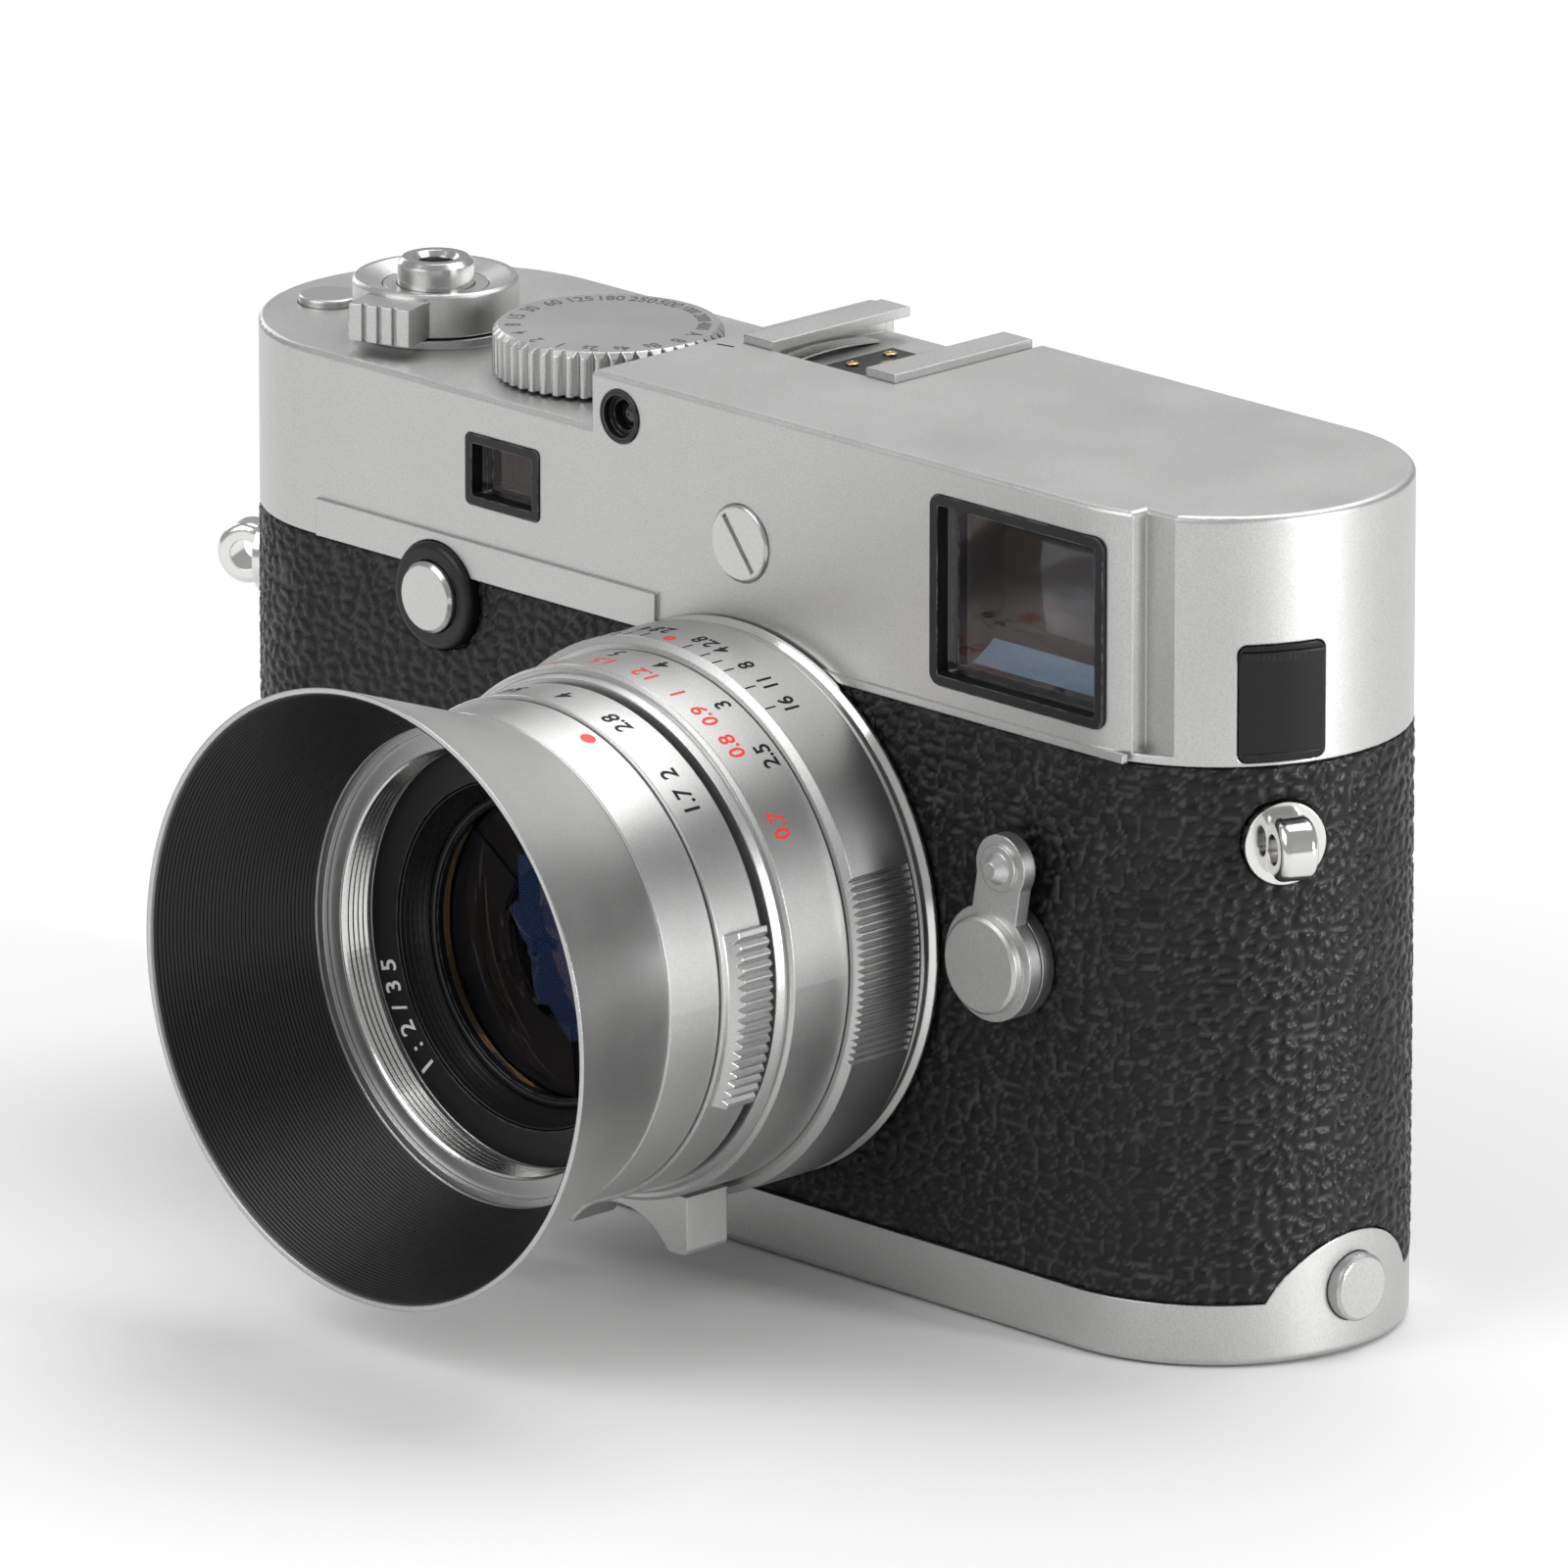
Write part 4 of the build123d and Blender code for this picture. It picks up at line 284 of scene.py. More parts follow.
def piece(name, points, faces, material, body, smooth=False):
    """A mesh from points in millimetres, riding a CAD body."""
    mesh = bpy.data.meshes.new(name)
    mesh.from_pydata((np.asarray(points, float) * MM).tolist(), [], [list(map(int, f)) for f in faces])
    mesh.validate()
    mesh.update()
    if smooth:
        mesh.polygons.foreach_set("use_smooth", [True] * len(mesh.polygons))
    mesh.materials.append(material)
    thing = bpy.data.objects.new(name, mesh)
    bpy.context.scene.collection.objects.link(thing)
    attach(thing, body)
    return thing


def lathe(name, profile, axis, centre, material, body, steps=192, closed=True, smooth=True):
    """A profile of (radius, distance along the axis) turned about the Y or Z axis through centre."""
    angles = np.linspace(0, 2 * math.pi, steps, endpoint=False)
    rows = np.array(profile, float)
    radius = rows[:, 0][:, None]
    along = np.repeat(rows[:, 1][:, None], steps, 1)
    first = centre[0] + radius * np.cos(angles)
    second = centre[1] + radius * np.sin(angles)
    order = (first, along, second) if axis == "Y" else (first, second, along)
    points = np.stack(order, -1).reshape(-1, 3)
    faces = []
    count = len(profile)
    for row in range(count if closed else count - 1):
        low, high = row * steps, (row + 1) % count * steps
        for k in range(steps):
            n = (k + 1) % steps
            faces.append((low + k, low + n, high + n, high + k))
    return piece(name, points, faces, material, body, smooth)


class Solid:
    """Collects boxes and frames into one mesh."""

    def __init__(self):
        self.points = []
        self.faces = []

    def add(self, points, faces):
        start = len(self.points)
        self.points.extend(points)
        self.faces.extend(tuple(start + i for i in face) for face in faces)

    def hexa(self, corners):
        """Eight corners: four of the bottom going round, then the four above them."""
        self.add(corners, [(3, 2, 1, 0), (4, 5, 6, 7), (0, 1, 5, 4), (1, 2, 6, 5), (2, 3, 7, 6), (3, 0, 4, 7)])

    def window(self, outer, inner, front, rear):
        """A rectangular frame: outer and inner are (left, right, bottom, top) in X and Z."""
        rings = []
        for (left, right, bottom, top), y in ((outer, front), (inner, front), (inner, rear), (outer, rear)):
            rings.append([(left, y, bottom), (right, y, bottom), (right, y, top), (left, y, top)])
        points = [p for ring in rings for p in ring]
        faces = []
        for ring in range(4):
            for k in range(4):
                n = (k + 1) % 4
                low, high = ring * 4, (ring + 1) % 4 * 4
                faces.append((low + k, low + n, high + n, high + k))
        self.add(points, faces)

    def plate(self, left_right, rows, thickness):
        """A bent plate: rows of (y, z) along its length, thickness added along Z."""
        left, right = left_right
        for (y0, z0), (y1, z1) in zip(rows, rows[1:]):
            base = [(left, y0, z0), (right, y0, z0), (right, y1, z1), (left, y1, z1)]
            self.hexa(base + [(x, y, z + thickness) for x, y, z in base])


def surface_radius(node, angle, y, reach=40.0):
    """How far out the surface of a lens ring is, at an angle and a distance along the lens."""
    a = math.radians(angle)
    outward = Vector((math.cos(a), 0, math.sin(a)))
    start = (Vector((LENS_X, y, LENS_Z)) + outward * reach) * MM
    hit, place, _, _ = nodes[node].ray_cast(start, -outward)
    if not hit:
        return None
    return (Vector((LENS_X, y, LENS_Z)) - place / MM).length


def around(node, angle, y):
    """Maps lettering onto a lens ring, read along rising angle with its top towards the front."""
    radius = surface_radius(node, angle, y)

    def place(u, v, w):
        a = math.radians(angle) + u / radius
        r = radius + w
        return np.stack((LENS_X + r * np.cos(a), y - v, LENS_Z + r * np.sin(a)), -1)
    return place


def on_face(centre, angle, radius, face, plane):
    """Maps lettering onto a flat round face, read clockwise with its top outwards."""
    def place(u, v, w):
        a = math.radians(angle) - u / radius
        r = radius + v
        across, up = centre[0] + r * np.cos(a), centre[1] + r * np.sin(a)
        if plane == "front":
            return np.stack((across, face - w, up), -1)
        return np.stack((across, up, face + w), -1)
    return place


glyph_cache = {}


def glyphs(text):
    """A flat text mesh from the built-in font, centred, with capitals 1 high."""
    if text not in glyph_cache:
        curve = bpy.data.curves.new("glyph", "FONT")
        curve.body = text
        curve.extrude = 0.01
        curve.resolution_u = 4
        curve.offset = 0.016
        holder = bpy.data.objects.new("glyph", curve)
        bpy.context.scene.collection.objects.link(holder)
        bpy.context.view_layer.update()
        evaluated = holder.evaluated_get(bpy.context.evaluated_depsgraph_get())
        mesh = bpy.data.meshes.new_from_object(evaluated)
        points = np.array([v.co for v in mesh.vertices], float)
        faces = [tuple(p.vertices) for p in mesh.polygons]
        bpy.data.objects.remove(holder)
        bpy.data.meshes.remove(mesh)
        points[:, 0] -= (points[:, 0].min() + points[:, 0].max()) / 2
        points[:, 1] -= 0.34
        points[:, :2] /= 0.69
        points[:, 2] = np.sign(points[:, 2])
        glyph_cache[text] = (points, faces)
    return glyph_cache[text]


class Print:
    """Collects lettering and marks of one colour into one mesh."""

    def __init__(self, thickness=0.022):
        self.solid = Solid()
        self.thickness = thickness

    def text(self, text, height, place, narrow=0.9):
        points, faces = glyphs(text)
        u, v = points[:, 0] * height * narrow, points[:, 1] * height
        self.solid.add([tuple(p) for p in place(u, v, points[:, 2] * self.thickness)], faces)

    def line(self, width, height, place):
        corners = np.array([(-1, -1), (1, -1), (1, 1), (-1, 1)], float) / 2
        u = np.tile(corners[:, 0] * width, 2)
        v = np.tile(corners[:, 1] * height, 2)
        w = np.repeat((-self.thickness, self.thickness), 4)
        self.solid.hexa([tuple(p) for p in place(u, v, w)])

    def dot(self, radius, place, steps=24):
        turn = np.linspace(0, 2 * math.pi, steps, endpoint=False)
        u, v = np.tile(radius * np.cos(turn), 2), np.tile(radius * np.sin(turn), 2)
        w = np.repeat((-self.thickness, self.thickness), steps)
        sides = [(k, (k + 1) % steps, steps + (k + 1) % steps, steps + k) for k in range(steps)]
        caps = [tuple(range(steps))[::-1], tuple(range(steps, 2 * steps))]
        self.solid.add([tuple(p) for p in place(u, v, w)], sides + caps)

    def make(self, name, material, body):
        return piece(name, self.solid.points, self.solid.faces, material, body)


# ---------------------------------------------------------------- leather covering

def smoothstep(low, high, value):
    t = np.clip((value - low) / (high - low), 0, 1)
    return t * t * (3 - 2 * t)


def soft_noise(x, y, size, seed):
    """Smooth value noise between 0 and 1."""
    cells = 256
    table = np.random.default_rng(seed).random((cells, cells))
    fx, fy = x / size + 40, y / size + 40
    ix, iy = np.floor(fx).astype(int), np.floor(fy).astype(int)
    tx, ty = fx - ix, fy - iy
    tx, ty = tx * tx * (3 - 2 * tx), ty * ty * (3 - 2 * ty)

    def pick(a, b):
        return table[(ix + a) % cells, (iy + b) % cells]

    low = pick(0, 0) * (1 - tx) + pick(1, 0) * tx
    high = pick(0, 1) * (1 - tx) + pick(1, 1) * tx
    return low * (1 - ty) + high * ty


def pebbles(x, y, size, seed):
    """Distance to the nearest crease between irregular pebbles, and a random tone for each pebble."""
    cells = 512
    table = np.random.default_rng(seed).random((cells, cells, 3))
    cx, cy = np.floor(x / size).astype(int), np.floor(y / size).astype(int)
    nearest = np.full(x.shape, 1e9)
    second = np.full(x.shape, 1e9)
    tone = np.zeros(x.shape)
    for i in range(-2, 3):
        for j in range(-2, 3):
            seat = table[(cx + i) % cells, (cy + j) % cells]
            dx = (cx + i + 0.08 + 0.84 * seat[..., 0]) * size - x
            dy = (cy + j + 0.08 + 0.84 * seat[..., 1]) * size - y
            reach = np.hypot(dx, dy)
            closer = reach < nearest
            second = np.where(closer, nearest, np.minimum(second, reach))
            tone = np.where(closer, seat[..., 2], tone)
            nearest = np.where(closer, reach, nearest)
    return second - nearest, tone


def make_leather():
    """One strip of pebbled leather round the body, from one edge of the back to the other."""
    low, high = span("leather_covering")
    half_depth = (high.y - low.y) / 2
    end_x = high.x - half_depth
    back_edge = 50.2
    tail = end_x - back_edge
    arc = math.pi * half_depth
    length = 2 * tail + 2 * arc + 2 * end_x
    pitch = 0.335
    columns, rows = int(length / pitch) + 1, int((high.z - low.z) / pitch) + 1
    s = np.linspace(0, length, columns)[:, None] * np.ones((1, rows))
    z = np.linspace(low.z, high.z, rows)[None, :] * np.ones((columns, 1))

    front_start = tail + arc
    front_end = front_start + 2 * end_x
    pull = 1e3 * np.ones_like(s)
    band = 1.6 * pitch

    def hole(s_at, z_at, radius):
        """Cuts a round hole by drawing the grid onto its edge."""
        nonlocal s, z, pull
        turned = s_at < front_start or s_at > front_end
        offset = s - s_at
        across = half_depth * np.sin(np.clip(offset / half_depth, -1.5, 1.5)) if turned else offset
        reach = np.hypot(across, z - z_at)
        edge = (reach < radius) & (reach > radius - band)
        gain = radius / np.maximum(reach, 1e-6)
        moved = across * gain
        if turned:
            moved = half_depth * np.arcsin(np.clip(moved / half_depth, -1, 1))
        s = np.where(edge, s_at + moved, s)
        z = np.where(edge, z_at + (z - z_at) * gain, z)
        pull = np.minimum(pull, np.where(reach < radius - band, -1.0, np.maximum(reach - radius, 0)))

    def face_s(x):
        return front_start + end_x + x

    focus = middle("focus_button_bezel")
    lever = middle("frame_lever_base")
    release = middle("lens_release_button")
    mount_hole, focus_hole, lever_hole, release_hole = 24.2, 5.4, 2.1, 4.5
    lug_turn, lug_z, lug_hole = math.radians(64), 50.0, 4.1
    arch_turn, arch_z, arch_hole = math.radians(90), 1.4, 10.3
    hole(face_s(LENS_X), LENS_Z, mount_hole)
    hole(face_s(focus.x), focus.z, focus_hole)
    hole(face_s(lever.x), lever.z, lever_hole)
    hole(face_s(release.x), release.z, release_hole)
    hole(front_end + half_depth * lug_turn, lug_z, lug_hole)
    hole(front_start - half_depth * lug_turn, lug_z, lug_hole)
    hole(front_end + half_depth * arch_turn, arch_z, arch_hole)

    warp = 1.1
    x_map = s * 0.80 + warp * (soft_noise(s, z, 2.6, 11) - 0.5)
    z_map = z * 1.18 + warp * (soft_noise(s, z, 2.4, 12) - 0.5)
    gap, tone = pebbles(x_map, z_map, 1.55, 3)
    small_gap, _ = pebbles(x_map + 31.0, z_map, 0.80, 5)
    dome = smoothstep(0.0, 0.62, gap)
    fine = smoothstep(0.0, 0.45, small_gap)
    rim = np.minimum(np.minimum(z - low.z, high.z - z), pull)
    rolled = 1 - smoothstep(0.0, 0.55, rim)
    relief = 0.30
    drop = (relief * (1 - dome) + 0.03 * (1 - fine) + 0.03 * tone
            + 0.02 * soft_noise(s, z, 0.6, 13) + 0.12 * rolled)
    crease = (1 - smoothstep(0.02, 0.24, gap)) * (0.45 + 0.55 * soft_noise(s, z, 3.0, 14))

    def lay(depth):
        r = half_depth - depth
        left = (s - tail) / half_depth
        right = (s - front_end) / half_depth
        x = np.where(s < tail, -back_edge - s, 0.0)
        y = np.where(s < tail, r, 0.0)
        part = (s >= tail) & (s < front_start)
        x = np.where(part, -end_x - r * np.sin(left), x)
        y = np.where(part, r * np.cos(left), y)
        part = (s >= front_start) & (s <= front_end)
        x = np.where(part, s - front_start - end_x, x)
        y = np.where(part, -r, y)
        part = (s > front_end) & (s <= front_end + arc)
        x = np.where(part, end_x + r * np.sin(right), x)
        y = np.where(part, -r * np.cos(right), y)
        part = s > front_end + arc
        x = np.where(part, end_x - (s - front_end - arc), x)
        y = np.where(part, r, y)
        return np.stack((x, y, z), -1).reshape(-1, 3)

    top = lay(drop + 0.01)
    thickness = 0.85
    under = lay(np.full_like(s, thickness))
    index = np.arange(columns * rows).reshape(columns, rows)
    quads = np.stack((index[:-1, :-1], index[1:, :-1], index[1:, 1:], index[:-1, 1:]), -1).reshape(-1, 4)
    gone = (pull < -0.5).reshape(-1)
    quads = quads[~gone[quads].any(1)]
    flat = top[quads]
    area = np.linalg.norm(np.cross(flat[:, 2] - flat[:, 0], flat[:, 3] - flat[:, 1]), axis=1)
    quads = quads[area > 1e-4]
    edges = np.concatenate([quads[:, [k, (k + 1) % 4]] for k in range(4)])
    keys = edges[:, 0].astype(np.int64) * (columns * rows) + edges[:, 1]
    back_keys = edges[:, 1].astype(np.int64) * (columns * rows) + edges[:, 0]
    border = edges[~np.isin(keys, back_keys)]
    count = columns * rows
    walls = np.stack((border[:, 1], border[:, 0], border[:, 0] + count, border[:, 1] + count), -1)
    points = np.concatenate((top, under))
    faces = np.concatenate((quads, walls))
    kept, faces = np.unique(faces.reshape(-1), return_inverse=True)
    faces = faces.reshape(-1, 4)
    shade = np.concatenate((crease.reshape(-1), np.zeros(count)))[kept]
    patch = np.concatenate((tone.reshape(-1), np.zeros(count)))[kept]
    cover = piece("leather_wrap", points[kept], faces, leather_material(), "camera_body",
                  True)
    for key, values in (("crease", shade), ("pebble", patch)):
        layer = cover.data.attributes.new(key, "FLOAT", "POINT")
        layer.data.foreach_set("value", values.astype(np.float32))
    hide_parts("leather_covering")


def leather_material():
    g = Graph("leather_wrap", (0.007, 0.007, 0.007), 0.0, 0.36, Specular_IOR_Level=0.26)
    crease = g.add("ShaderNodeAttribute", attribute_name="crease").outputs["Fac"]
    pebble = g.add("ShaderNodeAttribute", attribute_name="pebble").outputs["Fac"]
    grain = g.noise(3800.0, 4.0, 0.7)
    pores = g.noise(1700.0, 3.0, 0.6)
    slow = g.noise(45.0, 3.0)
    base = g.blend(g.ramp(pebble, 0.0, 1.0), (0.0035, 0.0035, 0.0035), (0.0085, 0.0085, 0.0085))
    base = g.blend(g.ramp(slow, 0.3, 0.7, 0.0, 0.5), base, (0.009, 0.0088, 0.0085))
    # Lighter grey along the creases: partly grey dust in the grooves, partly a painted highlight on the crease
    # walls.
    crease_dust_and_highlight = g.math("MULTIPLY", crease, g.ramp(grain, 0.2, 0.7, 0.3, 0.9))
    base = g.blend(crease_dust_and_highlight, base, (0.085, 0.085, 0.085))
    g.put("Base Color", base)
    g.put("Roughness", g.math("ADD", g.ramp(grain, 0.3, 0.7, 0.26, 0.42), g.math("MULTIPLY", crease, 0.20)))
    groove = g.bump(g.math("SUBTRACT", 1.0, crease), 0.10)
    g.put("Normal", g.bump(grain, 0.014, g.bump(pores, 0.022, groove)))
    return g.material


make_leather()


# ---------------------------------------------------------------- lens details

barrel_front = span("front_barrel")[0].y
hood_front = span("hood")[0].y
name_front = span("name_ring")[0].y
cell_front = span("optical_cell")[0].y


def make_hood_lining():
    """Fine anti-glare ribs turned inside the hood."""
    ribs = 42
    start_y, end_y = barrel_front - 0.95, hood_front + 0.30
    start_r, end_r = 22.85, 28.38
    profile = [(start_r + 0.05, start_y + 0.15)]
    for rib in range(ribs):
        for share, lift in ((0.0, 0.0), (0.35, 0.16), (0.60, 0.16), (0.92, 0.0)):
            t = (rib + share) / ribs
            profile.append((start_r + (end_r - start_r) * t - lift, start_y + (end_y - start_y) * t))
    profile.append((end_r, end_y))
    profile.append((end_r + 0.12, end_y))
    profile.append((start_r + 0.12, start_y + 0.15))
    steps = 224
    lathe("hood_lining", profile, "Y", (LENS_X, LENS_Z),
          finish("hood_lining", (0.010, 0.010, 0.011), 0.15, 0.36, depth=0.003, edge=0.03, dust=0.05),
          "lens_barrel", steps)


def make_front_rings():
    """Filter thread, retaining rings and steps in front of the glass."""
    silver = finish("thread_silver", (0.74, 0.735, 0.72), 1.0, 0.16, depth=0.002, edge=0.03, turned=lens_axis)
    profile = [(20.28, barrel_front + 0.10)]
    turns = 5
    pitch = (name_front - barrel_front - 0.5) / turns
    for turn in range(turns):
        y = barrel_front + 0.25 + pitch * turn
        profile += [(20.05, y), (19.86, y + 0.40 * pitch), (19.90, y + 0.52 * pitch), (20.16, y + 0.90 * pitch)]
    profile += [(20.05, name_front - 0.12), (20.28, name_front - 0.12)]
    lathe("filter_thread", profile, "Y", (LENS_X, LENS_Z), silver, "lens_barrel",
          smooth=False)

    dark = finish("retainer_black", (0.012, 0.012, 0.013), 0.3, 0.28, depth=0.002, edge=0.04, turned=lens_axis)
    base = [(16.25, cell_front + 0.02), (16.45, cell_front - 0.10), (16.40, cell_front - 0.16),
            (16.10, cell_front - 0.10)]
    lathe("front_lip_ring", [(r, y + 0.10) for r, y in base], "Y", (LENS_X, LENS_Z), dark, "lens_barrel")
    rows = []
    steps = 5
    for step in range(steps):
        t = step / steps
        y = cell_front + 0.35 + 2.25 * t
        r = 16.17 - 1.25 * t
        rows += [(r, y), (r - 0.10, y + 0.06), (r - 0.14, y + 0.30), (r - 0.22, y + 0.34)]
    rows += [(rows[-1][0] + 0.30, rows[-1][1] + 0.02), (16.32, cell_front + 0.35)]
    lathe("cone_steps", rows, "Y", (LENS_X, LENS_Z), dark, "lens_barrel")

    seat, shoulder, crest = -43.62, -43.74, -43.82
    ring = [(14.15, seat), (14.85, seat), (14.85, shoulder), (14.62, crest), (14.30, crest), (14.15, shoulder)]
    lathe("glass_retainer", ring, "Y", (LENS_X, LENS_Z), dark, "lens_barrel")


make_hood_lining()
make_front_rings()


# ---------------------------------------------------------------- lettering

# Where each row of figures sits along the lens, and how tall they are.
index_angle = 90.3
depth_figures_y, depth_lines_y, depth_dot_y = -25.3, -27.5, -27.1
metres_y, feet_y, stops_y, hood_dot_y = -33.5, -30.6, -41.0, -45.1
figure_height, stop_height = 1.75, 1.85
line_width, line_height = 0.16, 1.3

red = Print()
ring_black = Print()
for sign in (-1, 1):
    for value, degrees in (("16", 31.1), ("11", 24.6), ("8", 18.1), ("4", 11.1), ("2.8", 6.1)):
        angle = index_angle + sign * degrees
        ring_black.text(value, figure_height, around("depth_scale_ring", angle, depth_figures_y), 0.8)
        ring_black.line(line_width, line_height, around("depth_scale_ring", angle, depth_lines_y))
    unnumbered = index_angle + sign * 14.6
    ring_black.line(line_width, line_height, around("depth_scale_ring", unnumbered, depth_lines_y))
red.dot(0.62, around("depth_scale_ring", index_angle, depth_dot_y))
ring_black.make("depth_scale_figures", paint_black, "camera_body")
red.make("depth_scale_index", paint_red, "camera_body")

metres = Print()
for value, angle in (("0.7", 34.5), ("0.8", 54.5), ("0.9", 64.0), ("1", 72.6), ("1.2", 83.0), ("1.5", 95.7),
                     ("2", 110.0), ("3", 125.0), ("5", 138.0)):
    metres.text(value, figure_height, around("focus_ring", angle, metres_y))
metres.make("focus_scale_metres", paint_red, "focus_ring")
feet = Print()
for value, angle in (("2.5", 50.0), ("3", 65.6), ("4", 84.4), ("5", 98.0), ("7", 115.0), ("10", 128.0)):
    feet.text(value, figure_height, around("focus_ring", angle, feet_y))
feet.make("focus_scale_feet", paint_black, "focus_ring")

stops = Print()
for value, angle in (("1.7", 46.7), ("2", 53.9), ("2.8", 72.3), ("4", 89.1), ("5.6", 106.0),
                     ("8", 123.0), ("11", 140.0), ("16", 157.0)):
    if surface_radius("aperture_ring", angle, stops_y):
        stops.text(value, stop_height, around("aperture_ring", angle, stops_y))
stops.make("aperture_figures", paint_black, "aperture_ring")

bayonet_dot = Print()
bayonet_dot.dot(0.75, around("front_barrel", 70.8, hood_dot_y))
bayonet_dot.make("hood_index", paint_red, "lens_barrel")

lens_figures = Print(0.015)
figures = "1:2/35"
first_angle, sweep, figure_radius = -133.0, 32.0, 18.3
for number, letter in enumerate(figures):
    angle = first_angle - sweep * number / (len(figures) - 1)
    lens_figures.text(letter, 1.95, on_face((LENS_X, LENS_Z), angle, figure_radius, name_front, "front"))
lens_figures.make("lens_figures", paint_white, "lens_barrel")

dial_top = span("speed_dial")[1].z
dial = middle("speed_dial")
speeds = Print(0.012)
first_angle, step_angle, figure_radius = 20, 19, 9.0
for number, value in enumerate(("A", "4000", "2000", "1000", "500", "250", "180", "125", "60", "30", "15",
                                "8", "4", "2", "1", "2s", "4s", "8s", "B")):
    angle = (first_angle + step_angle * number) % 360
    tall, narrow = (1.25, 0.72) if len(value) > 3 else (1.5, 0.85)
    speeds.text(value, tall, on_face((dial.x, dial.y), angle, figure_radius, dial_top, "top"), narrow)
speeds.make("dial_figures", paint_grey, "speed_dial")


def deck_line(start, end, width, height_z):
    """A short painted line on the deck."""
    a, b = Vector((*start, 0)), Vector((*end, 0))
    side = (b - a).normalized().cross(Vector((0, 0, 1))) * width / 2
    base = [a - side, a + side, b + side, b - side]
    solid = Solid()
    solid.hexa([(p.x, p.y, height_z - 0.02) for p in base] + [(p.x, p.y, height_z + 0.012) for p in base])
    return piece("dial_index", solid.points, solid.faces, paint_black, "camera_body")


deck_top = 80.8
deck_line((-10.86, -3.68), (-9.02, -3.30), 0.34, deck_top)


# ---------------------------------------------------------------- windows in the top cover

def make_finder():
    """Dark well with slanted, coated panels behind the big window; the panels' colours are painted reflections.
    """
    left, right, bottom, top = 33.05, 53.25, 60.85, 76.85
    front, step, rear, rear_end = -15.6, -14.6, -5.0, -4.4
    black = finish("finder_black", (0.012, 0.011, 0.010), 0.0, 0.5, depth=0.006, edge=0.05)
    mask = Solid()
    mask.window((left, right, bottom, top), (left + 0.6, right - 0.6, bottom + 0.35, top - 0.4), front, step)
    mask.window((left, right, bottom, top), (left + 1.2, right - 1.2, bottom + 0.35, top - 0.8), step, rear)
    mask.hexa([(left, rear, bottom), (right, rear, bottom), (right, rear_end, bottom), (left, rear_end, bottom),
               (left, rear, top), (right, rear, top), (right, rear_end, top), (left, rear_end, top)])
    well = piece("finder_well", mask.points, mask.faces, black, "camera_body")
    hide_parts("finder_prisms")

    sill = Solid()
    rows = [(-14.5, bottom + 0.45), (-13.6, bottom + 0.9), (-12.6, bottom + 1.5), (-11.7, bottom + 2.2)]
    sill.plate((left + 1.3, right - 1.3), rows, 0.3)
    pale = finish("sill_blue", (0.30, 0.44, 0.56), 0.0, 0.30, depth=0.002, edge=0.03, tone=0.15)
    piece("finder_sill", sill.points, sill.faces, pale, "camera_body")

    header = Solid()
    header.plate((left + 1.3, right - 1.3), [(-14.4, top - 1.3), (-12.6, top - 1.9), (-10.4, top - 2.4)], 0.25)
    steel = finish("header_blue", (0.12, 0.19, 0.26), 0.4, 0.30, depth=0.002, edge=0.03)
    piece("finder_header", header.points, header.faces, steel, "camera_body")

    centre = ((left + right) / 2, (bottom + top) / 2 + 0.4)
    across, up, pane_y = 17.2, 9.6, -11.2
    pane_points, pane_faces = [], []
    columns, rows_count = 24, 16
    for side, shift in ((0, 0.0), (1, 0.7)):
        for i in range(columns + 1):
            for j in range(rows_count + 1):
                u, v = i / columns - 0.5, j / rows_count - 0.5
                bulge = 0.9 * (u * u + v * v) * (1 - side)
                pane_points.append((centre[0] + u * across, pane_y + bulge + shift, centre[1] + v * up))
    stride = rows_count + 1
    total = (columns + 1) * stride
    for side in range(2):
        for i in range(columns):
            for j in range(rows_count):
                a = side * total + i * stride + j
                quad = (a, a + stride, a + stride + 1, a + 1)
                pane_faces.append(quad if side == 0 else quad[::-1])
    ring = [i * stride for i in range(columns)] + [columns * stride + j for j in range(rows_count)]
    ring += [i * stride + rows_count for i in range(columns, 0, -1)] + list(range(rows_count, 0, -1))
    for a, b in zip(ring, ring[1:] + ring[:1]):
        pane_faces.append((b, a, a + total, b + total))
    g = Graph("finder_painted_reflection", (0.10, 0.07, 0.05), 0.0, 0.05, Coat_Weight=0.3, Coat_Roughness=0.04)
    parts = g.add("ShaderNodeSeparateXYZ", {"Vector": g.coords}).outputs
    rise = g.ramp(parts[2], (centre[1] - up / 2) * MM, (centre[1] + up / 2) * MM)
    side = g.ramp(parts[0], (centre[0] - 2) * MM, (centre[0] + across / 2) * MM)
    patch = g.math("MULTIPLY", g.ramp(rise, 0.45, 0.75), g.ramp(side, 0.35, 0.75))
    # Painted reflection: near black at the bottom, amber towards the top and a purple patch up on the right stand
    # in for light reflected off the coating.
    tint = g.blend(rise, (0.008, 0.007, 0.007), (0.045, 0.030, 0.022))
    tint = g.blend(g.math("MULTIPLY", patch, g.ramp(g.noise(300.0, 2.0), 0.3, 0.6)), tint, (0.10, 0.035, 0.16))
    g.put("Base Color", tint)
    g.put("Roughness", g.ramp(g.noise(500.0, 3.0), 0.3, 0.7, 0.03, 0.14))
    piece("finder_pane", pane_points, pane_faces, g.material, "camera_body", True)


def make_range_window():
    """Nested dark frames behind the small window."""
    left, right, bottom, top = -28.75, -20.75, 65.45, 70.45
    steps = Solid()
    y = -15.6
    for step in range(4):
        inset = 0.45 * (step + 1)
        inner = (left + 1.5 * inset, right - 1.5 * inset, bottom + inset, top - inset)
        steps.window((left, right, bottom, top), inner, y, y + 0.9)
        y += 0.95
    steps.hexa([(left, y, bottom), (right, y, bottom), (right, y + 0.5, bottom), (left, y + 0.5, bottom),
                (left, y, top), (right, y, top), (right, y + 0.5, top), (left, y + 0.5, top)])
    black = finish("range_black", (0.010, 0.010, 0.011), 0.0, 0.42, depth=0.004, edge=0.04)
    piece("range_mask", steps.points, steps.faces, black, "camera_body")


